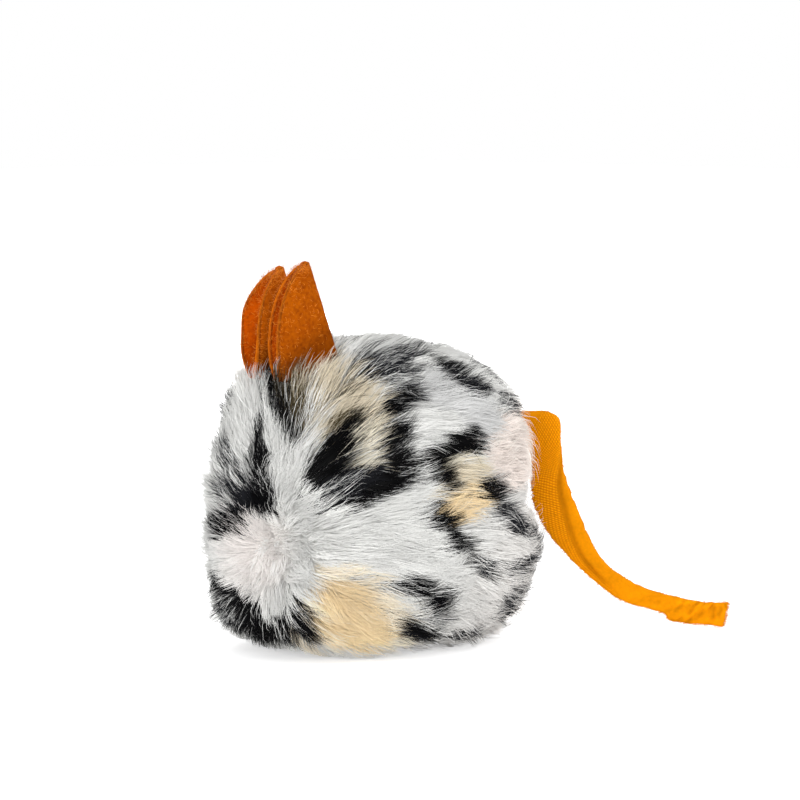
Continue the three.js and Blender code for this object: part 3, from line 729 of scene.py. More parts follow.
def coat_zones(roots):
    """How far each root is inside the places where the coat differs, mostly from 0 to 1."""
    fade = {name: smoothstep(start, full, roots[:, axis]) for name, (axis, start, full) in FADES.items()}
    bell = {}
    for name, (axis, middle, width) in BELLS.items():
        bell[name] = np.exp(-(((roots[:, axis] - middle) / width) ** 2))
    from_nose = np.linalg.norm(roots - NOSE_TIP, axis=1)
    ear = smoothstep(*EAR_TUFT, ear_distance(roots)) * fade["ear_side"] * fade["ear_front"]
    chin = fade["front"] * fade["low"]
    laid = (1 - PARTED * bell["parting"]) * (1 - TUCKED * bell["tuck"])
    return {
        "coat": smoothstep(*NOSE_TO_COAT, from_nose),
        "combed": smoothstep(*COMBED, from_nose),
        "muzzle": smoothstep(*MUZZLE, from_nose) * (1 - chin),
        "ear": ear,
        "brow": ear * fade["brow"],
        "chin": chin,
        "rump": fade["rump"] * fade["off_floor"] * laid,
        "haunch": fade["rump"],
        "tail": fade["rear"] * bell["tail"],
        "back": fade["mid_back"] * fade["top"],
        "croup": fade["rear_back"] * fade["top"],
        "neck": (bell["nape"] - bell["shoulder"]) * fade["upper"],
        "floor": fade["by_floor"],
    }


def pile_paths(roots, back, out, seed):
    """The path of each hair, the place on the coat whose print it takes, its radius and its lock. It rises
    from the cloth, lies back over the coat and gathers into a lock. The undercoat is shorter and looser."""
    chance = np.random.default_rng(seed)
    count = len(roots)
    zones = coat_zones(roots)
    under = chance.random(count) < UNDERCOAT_SHARE
    wild = chance.random(count) < WILD_SHARE
    tufts, tuft = locks(roots, LOCK_SIZE, chance)
    lock_length, lock_loft = chance.uniform(*LOCK_SPREAD, (2, len(tufts)))
    lock_turn = chance.normal(0, LOCK_TURN, len(tufts))

    length = sum((gain * zones[name] for name, gain in LENGTH_GAINS.items()), NOSE_HAIR)
    length = length * (1 - TAIL_SHORTER * zones["tail"]) * lock_length[tuft]
    length = length * np.where(under, *LENGTH_SHARES) * chance.uniform(*LENGTH_SPREAD, count)
    length = np.where(in_belly(roots), BELLY_SHORTER * length, length)
    loft = np.where(under, *LOFTS) + LOFT_SPREAD * chance.random(count) + np.where(wild, WILD_LOFT, 0)
    loft = loft + heights_at(SWELLS, roots + CLOTH_INSET * out)
    loft = sum((gain * zones[name] for name, gain in LOFT_GAINS.items()), loft) * lock_loft[tuft]
    for name, loss in LOFT_LOSSES.items():
        loft = loft * (1 - loss * zones[name])
    loft = np.minimum(loft, STEEPEST * length)

    sway = lock_turn[tuft] + chance.normal(0, HAIR_TURN, count) * np.where(wild, WILD_TURN, 1)
    sway = np.radians(sway + bumps(roots, *SWIRL))[:, None]
    heading = np.cos(sway) * back + np.sin(sway) * np.cross(out, back)
    for origin, axes, *_ in EARS.values():
        side = np.array(axes[1]) * -np.sign((roots - np.array(origin)) @ np.array(axes[1]))[:, None]
        into = np.maximum(0, np.sum(heading * side, axis=1)) * zones["ear"]
        heading = unit(heading - into[:, None] * side)

    run = np.sqrt(length**2 - loft**2)[:, None]
    reach = run * ALONG**REACH_POWER
    height = loft[:, None] * (1 - (1 - ALONG) ** RISE_POWER) - reach**2 / FALL_RADIUS
    free = roots[:, None] + heading[:, None] * reach[..., None] + out[:, None] * height[..., None]
    guide = free[tufts[tuft]] + LOCK_APART * (roots - roots[tufts[tuft]])[:, None]
    gather = np.where(under, *GATHERS) * chance.uniform(*GATHER_SPREAD, count)
    gather = gather * zones["combed"] * np.where(wild, WILD_GATHER, 1)
    pulled = (gather[:, None] * ALONG**GATHER_POWER)[..., None] * (guide - free)
    paths = free + pulled
    paths = paths + (heights_at(PRESSES, paths) * ALONG)[..., None] * out[:, None]

    at_front = smoothstep(*FRONT_LIFT_X, paths[..., X])
    far_chin = smoothstep(*FAR_CHIN_Y, paths[..., Y]) * smoothstep(*FAR_CHIN_X, paths[..., X])
    lowest = 0
    for share, (least, more) in zip((1, at_front, far_chin), FLOOR_LIFTS):
        lowest = lowest + share * (least + more * chance.random(count)[:, None])
    paths[..., Z] = np.maximum(paths[..., Z], lowest)

    drawn = PRINT_PULL * (pulled[:, -2] - np.sum(pulled[:, -2] * out, axis=1)[:, None] * out)
    flat_run = PRINT_REACH * run
    printed = roots + flat_run * heading + (CLOTH_INSET - flat_run**2 / FALL_RADIUS) * out + drawn
    return paths, printed, np.where(under, *RADII) * chance.uniform(*RADIUS_SPREAD, count), tuft


def add_pile(material):
    roots, back, out = pile_roots(STRAND_COUNT, SEEDS["roots"])
    keep = ~in_mouth(roots, MOUTH_MARGIN) & (ear_distance(roots) > EAR_CLEARANCE)
    roots, back, out = roots[keep], back[keep], out[keep]
    count = len(roots)
    paths, printed, radii, tuft = pile_paths(roots, back, out, SEEDS["paths"])
    chance = np.random.default_rng(SEEDS["tints"])
    alone = chance.random(count) < ALONE_SHARE
    draw = np.where(alone, chance.random(count), chance.random(count)[tuft])
    pick = chance.random(count)
    colour = print_and_painted_light(printed + chance.normal(0, PRINT_SCATTER, roots.shape), draw, pick)
    # Random shades of each hair, times those of its lock, which paint shade and light from lock to lock
    shade = chance.uniform(*HAIR_SHADES, count) * chance.uniform(*LOCK_PAINTED_SHADES, count)[tuft]
    # Painted shade darkens the roots, less near the nose; elsewhere they keep a little unprinted white
    at_nose = smoothstep(*NOSE_ROOTS, np.linalg.norm(roots - NOSE_TIP, axis=1))[:, None]
    root_painted_shade_and_pale = (ROOT_PAINTED_SHADE + NOSE_ROOT_GAIN * at_nose) * colour + ROOT_PALE * (1 - at_nose) * TONES["white"]
    fade = smoothstep(*ROOT_FADE, ALONG)[:, None]
    tints = root_painted_shade_and_pale[:, None] * (1 - fade) + colour[:, None] * fade
    tints = np.clip(tints * shade[:, None, None], 0, 1)
    panel = panel_of(roots)
    for number, side in enumerate(("left", "right", "belly")):
        mine = np.flatnonzero(panel == number)
        for part, start in enumerate(range(0, len(mine), STRANDS_PER_PIECE)):
            some = mine[start : start + STRANDS_PER_PIECE]
            piece = strand_mesh(f"{side}_pile_{part + 1}", paths[some], radii[some], tints[some], out[some])
            dress(piece, material, "body")


def add_cloth(material):
    """The knitted backing of each panel, sewn edge to edge."""
    stations, sides = CLOTH_GRID
    points = body_grid(CLOTH_INSET, stations, sides)
    faces = grid_faces(stations, sides, wrap=True)
    flat = np.concatenate([points.reshape(-1, 3), [points[0].mean(axis=0), points[-1].mean(axis=0)]])
    side = np.arange(sides)
    after = (side + 1) % sides
    last = (stations - 1) * sides
    front = np.stack([np.full(sides, len(flat) - 2), after, side], -1)
    rear = np.stack([np.full(sides, len(flat) - 1), last + side, last + after], -1)
    ends = np.concatenate([front, rear])
    middling = np.full(len(flat), 0.5)
    tints = print_and_painted_light(flat, middling, middling) * CLOTH_SHADE
    for number, node in enumerate(("left_side_panel", "right_side_panel", "belly_panel")):
        blocks = []
        for block in (faces, ends):
            middle = flat[block].mean(axis=1)
            blocks.append(block[(panel_of(middle) == number) & ~in_mouth(middle, margin=0)])
        used, places = np.unique(np.concatenate([block.ravel() for block in blocks]), return_inverse=True)
        cut = blocks[0].size
        blocks = [places[:cut].reshape(-1, 4), places[cut:].reshape(-1, 3)]
        blocks = [block for block in blocks if len(block)]
        piece = mesh_object(node.replace("panel", "cloth"), flat[used], blocks, tints[used])
        dress(piece, material, "body", [node])


# Ears: each a felt petal folded at the rear


def ear_grid(tall, openings, rake, flare):
    """Middle of the felt in the ear's own frame: rows up from the sewn base, columns from one free edge
    round the fold to the other."""
    sunk = np.linspace(-EAR_SUNK, 0, EAR_SUNK_ROWS)[:-1]
    free = (tall - EAR_TIP_GAP) * np.sin(np.linspace(0, np.pi / 2, EAR_ROWS))
    bend = (LEAF_GAP + FELT) / 2
    turn = np.linspace(-np.pi / 2, np.pi / 2, FOLD_COLUMNS)[1:-1]
    rows = []
    for height in np.concatenate([sunk, free]):
        risen = max(height, 0) / tall
        width = EAR_WIDTH * math.sqrt(1 - (1 - (tall - max(height, 0)) / EAR_ROUNDNESS) ** 2)
        width *= 1 - EAR_NARROWING * max(0, -height) / EAR_SUNK
        opened = math.sin(np.pi / 2 * min(1, risen / EAR_OPEN_BY))
        reach = np.linspace(0, width, LEAF_COLUMNS)
        cup = EAR_CUP * np.sin(np.pi * reach / width) * math.sin(np.pi * risen)
        left, right = (reach * math.tan(math.radians(angle)) * opened + cup for angle in openings)
        right = right * (1 + flare * smoothstep(*EAR_FLARE, risen))
        back = -EAR_WIDTH / 2 - height * math.tan(rake)
        along = np.concatenate([back + reach[::-1], back - bend * np.cos(turn), back + reach])
        across = np.concatenate([bend + left[::-1], -bend * np.sin(turn), -bend - right])
        rows.append(np.stack([along, across, np.full(len(along), height)], -1))
    return np.array(rows)


def add_ear(side, material, fuzz_material):
    origin, axes, tall, openings, rake, flare = EARS[side]
    origin, axes = np.array(origin), np.array(axes)
    seed = SEEDS[side]
    local = ear_grid(tall, openings, math.radians(rake), flare)
    height = local[..., Z]
    middle = origin + local @ axes
    felt_bumps = [(size, seed + step, rise) for size, step, rise in FELT_BUMPS]
    thickness = FELT * (1 + FELT_UNEVEN * bumps(middle, *felt_bumps))
    # Painted shade that darkens the felt towards the base, where the coat shadows it
    shade = (EAR_BASE_PAINTED_SHADE + (1 - EAR_BASE_PAINTED_SHADE) * smoothstep(*EAR_PAINTED_SHADE_HEIGHTS, height))[..., None]
    inside, outside = TONES["felt_inside"] * shade, TONES["felt_outside"] * shade
    piece, normals = slab(f"{side}_ear_felt", middle, thickness, inside, outside, TONES["felt_edge"])
    body = f"{side}_ear"
    dress(piece, material, None, [f"{side}_ear", f"{side}_ear_tab"])
    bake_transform(piece)

    chance = np.random.default_rng(seed)
    count = FUZZ_COUNT
    on_rim = count // FUZZ_RIM_SHARE
    is_free = height > FUZZ_FROM
    is_edge = np.arange(height.shape[1]) % (height.shape[1] - 1) == 0
    free, rim = np.argwhere(is_free), np.argwhere(is_free & is_edge)
    spots = free[chance.integers(0, len(free), count)]
    spots[:on_rim] = rim[chance.integers(0, len(rim), on_rim)]
    row, column = spots.T
    out = normals[row, column] * chance.choice([-1, 1], count)[:, None]
    roots = middle[row, column] + out * FUZZ_DEPTH * FELT + chance.normal(0, FUZZ_SCATTER, (count, 3))
    heading = unit(chance.normal(0, 1, (count, 3)) + FUZZ_LIFT * out)
    length = chance.uniform(*FUZZ_LENGTH, (count, 1, 1))
    shares = ALONG[:, None]
    arch = FUZZ_ARCH * np.sin(np.pi * shares)
    paths = roots[:, None] + length * (heading[:, None] * shares + out[:, None] * arch)
    tints = mix(TONES["fuzz_dark"], TONES["fuzz_light"], chance.random(count))[:, None]
    radii = chance.uniform(*FUZZ_RADIUS, count)
    fuzz = strand_mesh(f"{side}_ear_fuzz", paths, radii, tints, out, LOOSE_ROUND)
    dress(fuzz, fuzz_material, body)


# Tail: a knitted tape folded along its length

TAIL_ROWS = 800
SPLINE_POINTS = 4000
# Points of the near face, the far face and each side of the slit between the two layers
NEAR_POINTS, FAR_POINTS, SLIT_POINTS = 68, 20, 12
SLIT_END, SLIT_ROUND, SLIT_POWER = 0.84, 0.85, 4
FOLD_POWER, EDGE_THINNER, EDGE_POWER = 5, 0.35, 12
# Ripples of the whole tape and of its edges, and how much thinner it gets, by shares of its length
RIPPLE, RIPPLE_HEIGHT, END_RIPPLE, END_RIPPLE_FROM = (3.1, 31, 1), 0.35, 0.9, (0.7, 0.9)
WOBBLE, WOBBLE_SHIFT, WOBBLE_FROM = (1.3, 33, 0.5), 7, 0.98
END_THINNER, END_THIN_FROM, RELIEF_FADE = 0.25, (0.75, 1), (1, 0.9)

# The knit: its pitch, the lean of a stitch, the height of its face, and how far its wales slant past the bend
WALE, COURSE, STITCH_LEAN, STITCH_POWER = 0.6, 0.52, 0.9, 0.6
STITCH_MEAN, STITCH_WAVE = 0.55, 0.45
KNIT_RISE, STITCH_RISE = 0.16, 0.2
TAPE_HALF, KNIT_BLEND, BEND_INSIDE = 3.3, (-5, 3), 9.2
SLANT_PLACES, SLANTS = np.array([-12, 5, 30]), [-14, -6, 0]
# The line, in the tail's plane, past which the tape is turned over at its bend
TURN_POINT, TURN_ACROSS, TURN_FADE = np.array([9, 43.9]), np.array([0.62, -0.79]), (-1.2, 0.6)
# The groove beside the knit: shares of the length, its places across, and the dip and the fade along it;
# the dip's last number is the painted shade that darkens the tape in it
GROOVE_ALONG = [0, 0.2, 0.27, 0.32, 0.5, 0.64, 0.78, 1]
GROOVE_ACROSS = [1.2, 1.2, 0.85, 0.45, -0.1, -0.55, -1, -1.5]
GROOVE_HALF, KNIT_EDGE = 3.4, (0.15, -0.25)
DIP_MIDDLE, DIP_WIDTH, DIP_FROM, DIP_TO, DIP_DEPTH, DIP_PAINTED_SHADE = 0.4, 0.6, (0.22, 0.3), (0.72, 0.6), 0.42, 0.3
# Creases of the free end, with painted light on their ridges and painted shade in their hollows, and
# patches of lighter and darker tape
CREASE, CREASE_FROM, CREASE_HEIGHT, CREASE_PAINTED_SHADING = (1.0, 35, 1), (0.74, 0.86), 0.45, 0.5
CREASE_LONG, CREASE_ACROSS, CREASE_SLANT = 0.9, 2.2, 0.5
PATCH, PATCH_SHADE = (2.4, 36, 1), 0.3
TAPE_ACROSS = 2

# Loose fibres on the tape's edges and its cut end
FIBRE_COUNT, FIBRE_END_COUNT, FIBRE_FIRST_ROW = 1100, 140, 75
FIBRE_INNER_SHARE, FIBRE_FOLD_LENGTH, FIBRE_END_STEP = 0.75, 0.6, 9
FIBRE_ASIDE, FIBRE_SCATTER, FIBRE_LOWEST = 0.35, 0.6, 0.1
FIBRE_LENGTH, FIBRE_RADIUS = (0.35, 1.05), (0.035, 0.06)
# The sewn-in tab: how far it reaches in and out of the seam, its heights, its grid and its thickness
TAB_IN, TAB_OUT, TAB_HEIGHTS, TAB_GRID, TAB_THICKNESS = 14, 0.6, (40, 46.6), (12, 9), 1.8


def spline(knots, count):
    """A smooth curve through the knots, with the points spread evenly over the knots' numbers."""
    knots = np.array(knots, float)
    padded = np.concatenate([[2 * knots[0] - knots[1]], knots, [2 * knots[-1] - knots[-2]]])
    place = np.linspace(0, len(knots) - 1, count)
    first = np.minimum(place.astype(int), len(knots) - 2)
    share = (place - first)[:, None]
    before, start, end, after = (padded[first + step] for step in range(4))
    rise = (end - before) / 2
    leave = (after - start) / 2
    square, cube = share**2, share**3
    return (
        (2 * cube - 3 * square + 1) * start + (cube - 2 * square + share) * rise
        + (3 * square - 2 * cube) * end + (cube - square) * leave
    )


def tail_edges():
    """Points of the tape's outer and inner edge in even steps along its middle, and the length up to each."""
    edges = [spline(knots, SPLINE_POINTS) for knots in (TAIL_OUTER, TAIL_INNER)]
    steps = np.linalg.norm(np.diff((edges[0] + edges[1]) / 2, axis=0), axis=1)
    run = np.concatenate([[0], np.cumsum(steps)])
    places = np.linspace(0, run[-1], TAIL_ROWS)
    outer, inner = (np.stack([np.interp(places, run, axis) for axis in edge.T], -1) for edge in edges)
    return outer, inner, places


def from_tail_plane(flat, aside=0):
    """Points from the tail's upright plane, moved aside from it."""
    swing = math.radians(TAIL_SWING)
    ahead = np.array([math.cos(swing), -math.sin(swing), 0])
    normal = np.array([math.sin(swing), math.cos(swing), 0])
    place = np.array([TAIL_AXIS_X, 0, 0]) + flat[..., :1] * ahead + np.asarray(aside)[..., None] * normal
    return place + flat[..., 1:] * np.array([0, 0, 1])


def knit_relief(across, along, flat, share):
    """Height and tint of the tape's near face. The tint has painted light on the raised stitches and the
    creases' ridges, and painted shade between the stitches, in the creases' hollows and in the groove.
    Across runs from -1 at the inner edge to 1 at the fold, and share is that of the length. Above the
    bend the wales run straight, as the tape is turned over there."""
    reach, height = flat[..., 0], flat[..., 1]
    bend = np.interp(-TAIL_KNIT_TOP, -height[:, 0], along[:, 0])
    above = smoothstep(TAIL_KNIT_TOP + KNIT_BLEND[0], TAIL_KNIT_TOP + KNIT_BLEND[1], height)
    aside = above * (reach - BEND_INSIDE) + (1 - above) * (across + 1) * TAPE_HALF
    down = above * (bend - (height - TAIL_KNIT_TOP)) + (1 - above) * along
    past = (across - np.interp(share, GROOVE_ALONG, GROOVE_ACROSS)) * GROOVE_HALF
    turned = smoothstep(*TURN_FADE, (flat - TURN_POINT) @ TURN_ACROSS)
    knitted = smoothstep(*KNIT_EDGE, past) * turned
    wale = (aside + np.interp(down, bend + SLANT_PLACES, SLANTS)) / WALE
    within = wale - np.floor(wale)
    loop = STITCH_MEAN + STITCH_WAVE * np.cos(2 * np.pi * (down / COURSE - STITCH_LEAN * within))
    stitch = np.sin(np.pi * within) ** STITCH_POWER * loop
    dip = np.exp(-(((past - DIP_MIDDLE) / DIP_WIDTH) ** 2))
    dip = dip * smoothstep(*DIP_FROM, share) * smoothstep(*DIP_TO, share)
    crease_across = across * CREASE_ACROSS + CREASE_SLANT * along
    crease_at = np.stack([along / CREASE_LONG, crease_across, np.zeros_like(along)], -1)
    crease = bumps(crease_at, CREASE) * smoothstep(*CREASE_FROM, share)
    patch = bumps(np.stack([along, across * TAPE_ACROSS, np.ones_like(along)], -1), PATCH)
    relief = knitted * (KNIT_RISE + STITCH_RISE * stitch) - DIP_DEPTH * dip + CREASE_HEIGHT * crease
    # Painted light on the creases' ridges and painted shade in their hollows, over patches of lighter and
    # darker tape
    colour = TONES["tape"] * (1 + (PATCH_SHADE * patch + CREASE_PAINTED_SHADING * crease)[..., None])
    # The knit's yarn: painted light on the raised loops and painted shade between them
    colour = mix(colour, mix(TONES["yarn_in_painted_shade"], TONES["yarn_in_painted_light"], stitch), knitted)
    # Painted shade in the groove's dip
    return relief, np.clip(colour * (1 - DIP_PAINTED_SHADE * dip[..., None]), 0, 1)


def tail_section():
    """The folded tape's section as a closed outline: across from -1 at the open inner edge to 1 at the fold,
    share of the half thickness, and whether each point is on the near face."""
    near, far = np.linspace(-1, 1, NEAR_POINTS), np.linspace(1, -1, FAR_POINTS)[1:]
    slit = np.linspace(-1, SLIT_END, SLIT_POINTS)

    def half_full(across):
        at_fold = np.sqrt(np.maximum(0, 1 - np.maximum(0, across) ** FOLD_POWER))
        return at_fold * (1 - EDGE_THINNER * np.maximum(0, -across) ** EDGE_POWER)

    half_slit = TAIL_SLIT * np.sqrt(np.maximum(0, 1 - (np.maximum(0, slit) / SLIT_ROUND) ** SLIT_POWER))
    across = np.concatenate([near, far, slit, slit[::-1]])
    aside = np.concatenate([-half_full(near), half_full(far), half_slit, -half_slit[::-1]])
    return across, aside, np.arange(len(across)) < NEAR_POINTS


def add_tail(material, fibre_material):
    outer, inner, steps = tail_edges()
    middle, reach = (outer + inner) / 2, (outer - inner) / 2
    section, thickness, is_near = tail_section()
    across, along = np.broadcast_arrays(section, steps[:, None])
    share = along / steps[-1]
    flat = middle[:, None] + across[..., None] * reach[:, None]
    relief, colour = knit_relief(across, along, flat, share)
    ripple_at = np.stack([along, across * TAPE_ACROSS, np.zeros_like(along)], -1)
    ripple = bumps(ripple_at, RIPPLE) * (RIPPLE_HEIGHT + END_RIPPLE * smoothstep(*END_RIPPLE_FROM, share))
    half = TAIL_THICKNESS / 2 * (1 - END_THINNER * smoothstep(*END_THIN_FROM, share))
    aside = thickness * half - ripple - np.where(is_near, relief * smoothstep(*RELIEF_FADE, across), 0)
    wobble = bumps(ripple_at * np.array([1, 0, 0]) + WOBBLE_SHIFT, WOBBLE) * (np.abs(across) > WOBBLE_FROM)
    flat = flat + (wobble * np.sign(across))[..., None] * unit(reach)[:, None]
    piece = closed_grid("tail_tape", from_tail_plane(flat, aside), colour)
    dress(piece, material, None, ["tail_root", "tail"])

    chance = np.random.default_rng(SEEDS["tail"])
    count, ends = FIBRE_COUNT, FIBRE_END_COUNT
    row = chance.integers(FIBRE_FIRST_ROW, TAIL_ROWS, count)
    row[:ends] = TAIL_ROWS - 1
    place = np.where(chance.random(count) < FIBRE_INNER_SHARE, -1.0, 1.0)
    place[:ends] = chance.uniform(-1, 1, ends)
    spine = from_tail_plane(middle)
    roots = from_tail_plane(middle[row] + place[:, None] * reach[row], chance.normal(0, FIBRE_ASIDE, count))
    out = unit(roots - spine[row])
    out[:ends] = unit(spine[-1] - spine[-FIBRE_END_STEP])
    heading = unit(out + chance.normal(0, FIBRE_SCATTER, (count, 3)))
    length = chance.uniform(*FIBRE_LENGTH, count) * np.where(place == 1, FIBRE_FOLD_LENGTH, 1)
    paths = roots[:, None] + heading[:, None] * length[:, None, None] * ALONG[:, None]
    paths[..., Z] = np.maximum(paths[..., Z], FIBRE_LOWEST)
    radii = chance.uniform(*FIBRE_RADIUS, count)
    fibres = strand_mesh("tail_fibres", paths, radii, TONES["tape_fibre"], out, LOOSE_ROUND)
    dress(fibres, fibre_material)
    for part in (piece, fibres):
        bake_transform(part)

    tab_x = np.linspace(TAIL_AXIS_X - TAB_IN, TAIL_AXIS_X + TAB_OUT, TAB_GRID[0])
    tab_x, tab_z = np.meshgrid(tab_x, np.linspace(*TAB_HEIGHTS, TAB_GRID[1]), indexing="ij")
    stub = np.stack([tab_x, np.zeros(TAB_GRID), tab_z], -1)
    tab, _ = slab("tail_tab_tape", stub, TAB_THICKNESS, TONES["tape_tab"])
    dress(tab, material, "body", ["tail_tab"])


# Inside the belly: the stuffing, the pocket and its closing strips

# Stuffing: its lumps, and the room over the pocket: half its length and width, the height below which the
# stuffing is lifted, and the height that it is lifted to
LUMPS, LUMP_MEAN, LUMP_TOP, LUMP_DEPTH, LUMP_SHADE = [(6, 71, 1), (2.2, 72, 0.5)], 0.75, 1.5, 1.2, 0.14
POCKET_ROOM, ROOM_BELOW, ROOM_TOP = (11.6, 10.1), 20, 30.9

# Lining: its columns, the plan and height of its lower edge, its walls' heights and rows, and its crown
LINER_COLUMNS = 97
HEM_HALF, HEM_POWER, HEM_HEIGHT = np.array([9, 7.5]), 0.2, 4.9
WALL_POWER, WALL_HEIGHTS, WALL_ROWS = 0.34, (6.6, 26), 36
CROWN_ROWS, CROWN_FROM, CROWN_RISE, CROWN_LEAST = 12, 0.1, 4, 0.03
LINING_FOLDS = (3.2, 81, 0.3)
REAR_HEM_X, REAR_HEM_Y, REAR_HEM_HEIGHT = (-10.7, -2.7, 14), (-7.6, 7.6, 20), 6.65
REAR_HEM_WAVE, REAR_HEM_TURN = 0.1, 1.7

# Herb: its block, its crumbs, and the stalks, most of them in its lower part
HERB_HALF, HERB_POWER, HERB_GRID = np.array([9.6, 8.1, 10.6]), 0.35, (90, 130)
HERB_END = 0.497
CRUMBS, CRUMB_HEIGHT, HERB_SHADES = [(1.3, 91, 1), (0.55, 92, 0.6)], 0.7, (0.8, 93)
STALK_COUNT, STALK_LOW, STALK_LOW_SHARE = 1500, 14, 0.7
STALK_LEAN, STALK_OUT, STALK_LENGTH, STALK_RADIUS = 0.1, 0.15, (0.5, 2.2), (0.07, 0.17)

# Flap: its cloth, and its short pile
FLAP_X, FLAP_Y, FLAP_HEIGHT, FLAP_CLOTH = (-20.55, -4.05, 34), (-7.05, 7.05, 30), 2.75, 1.1
FLAP_WAVES, FLAP_SHADE = (4, 101, 0.2), 0.85
FLAP_STRANDS, FLAP_LOCK, FLAP_ROOT_X, FLAP_ROOT_Y, FLAP_ROOT_HEIGHT = 6500, 45, (-20.5, -4.1), (-7, 7), 2.25
FLAP_LOCK_TURN, FLAP_HAIR_TURN, FLAP_SWIRL = 11, 9, (4.5, 105, 40)
FLAP_RUN, FLAP_LOCK_RUN, FLAP_DROP, FLAP_LOCK_DROP = (3.4, 5.6), (0.8, 1.15), (0.7, 1), (1, 2.1)
FLAP_DROP_POWER, FLAP_APART, FLAP_GATHER = 1.6, 0.35, (0.3, 0.85)
FLAP_HAIR_SHADES, FLAP_RADIUS = (0.92, 1), (0.06, 0.09)

# Closing strips: shares of the strip that the hooks stay inside, the turn of one by its spread, its radius,
# and the shape of one: shares of its curl aside and of its height
STRIP_INSIDE, STRIP_TURN, HOOK_RADIUS = (0.04, 0.96), 12, 0.05
HOOK_STEPS = np.array([(0, 0), (0, 0.8), (0.55, 1), (1, 0.7)])


def add_stuffing(material):
    points = body_grid(FILL_INSET, *FILL_GRID)
    _, out = grid_directions(points)
    lumps = (LUMP_MEAN + bumps(points, *LUMPS))[..., None]
    points = points - LUMP_DEPTH * lumps * out
    from_pocket = np.abs(points[..., :Z] - POCKET_MIDDLE[:Z])
    over_pocket = np.all(from_pocket < POCKET_ROOM, axis=-1) & (points[..., Z] < ROOM_BELOW)
    points[..., Z] = np.where(over_pocket, ROOM_TOP, points[..., Z])
    tints = TONES["fibre_fill"] * (1 - LUMP_SHADE * (1 - lumps / LUMP_TOP))
    piece = closed_grid("fibre_fill", points, tints)
    dress(piece, material, "body", ["stuffing"])


def add_liner(material):
    """A cloth bag, open below, that turns in to the edge of the pocket's mouth, and a hem across its rear."""
    turn = np.linspace(0, 2 * np.pi, LINER_COLUMNS)
    circle = np.stack([np.cos(turn), np.sin(turn)], -1)

    def ring(half, power, height):
        plan = POCKET_MIDDLE[:Z] + half * signed_power(circle, power)
        return np.concatenate([plan, np.full((LINER_COLUMNS, 1), height)], 1)

    rows = [ring(HEM_HALF, HEM_POWER, HEM_HEIGHT)]
    rows += [ring(POCKET_HALF, WALL_POWER, height) for height in np.linspace(*WALL_HEIGHTS, WALL_ROWS)]
    for share in np.linspace(CROWN_FROM, 1, CROWN_ROWS):
        shrink = max(CROWN_LEAST, math.cos(share * np.pi / 2))
        height = WALL_HEIGHTS[1] + CROWN_RISE * math.sin(share * np.pi / 2)
        rows.append(ring(shrink * POCKET_HALF, WALL_POWER, height))
    middle = np.array(rows)
    walls = slice(1, -CROWN_ROWS)
    folds = bumps(middle, LINING_FOLDS)[walls, :, None]
    level = np.array([1, 1, 0])
    middle[walls] += folds * unit(middle[walls] - POCKET_MIDDLE * level) * level
    middle[:, -1] = middle[:, 0]
    piece, _ = slab("pocket_lining", middle, LINING, TONES["lining"])
    dress(piece, material, "body", ["pocket_liner"])
    hem = level_grid(REAR_HEM_X, REAR_HEM_Y, REAR_HEM_HEIGHT)
    hem[..., Z] += REAR_HEM_WAVE * np.sin(REAR_HEM_TURN * hem[..., Y])
    hem, _ = slab("pocket_hem", hem, LINING, TONES["hem"])
    dress(hem, material, "body")


def herb_block():
    """A rounded block of points that fills the pocket."""
    rows, columns = HERB_GRID
    rise = np.linspace(-HERB_END * np.pi, HERB_END * np.pi, rows)[:, None]
    turn = np.linspace(0, 2 * np.pi, columns, endpoint=False)[None]
    girth = signed_power(np.cos(rise), HERB_POWER)
    across = [girth * signed_power(np.cos(turn), HERB_POWER), girth * signed_power(np.sin(turn), HERB_POWER)]
    up = np.broadcast_to(signed_power(np.sin(rise), HERB_POWER), (rows, columns))
    return POCKET_MIDDLE + HERB_HALF * np.stack([*across, up], -1)


def add_herb(material):
    points = herb_block()
    crumbs = bumps(points, *CRUMBS)[..., None]
    points = points + CRUMB_HEIGHT * crumbs * unit(points - POCKET_MIDDLE)
    tints = mix(TONES["herb_dark"], TONES["herb_light"], value_noise(points, *HERB_SHADES))
    dress(closed_grid("dried_herb", points, tints), material, "body", ["catnip_fill"])

    chance = np.random.default_rng(SEEDS["herb"])
    count = STALK_COUNT
    flat = points.reshape(-1, 3)
    low = np.flatnonzero(flat[:, Z] < STALK_LOW)
    is_low = chance.random(count) < STALK_LOW_SHARE
    roots = flat[np.where(is_low, chance.choice(low, count), chance.integers(0, len(flat), count))]
    out = unit(roots - POCKET_MIDDLE)
    heading = unit(chance.normal(0, 1, (count, 3)) + STALK_LEAN * out)
    length = chance.uniform(*STALK_LENGTH, (count, 1, 1))
    from_middle = ALONG[:, None] - 0.5
    paths = roots[:, None] + heading[:, None] * length * from_middle + STALK_OUT * out[:, None]
    tints = STRAW[chance.integers(0, len(STRAW), count)][:, None]
    stalks = strand_mesh("herb_stalks", paths, chance.uniform(*STALK_RADIUS, count), tints, out, LOOSE_ROUND)
    dress(stalks, material, "body")


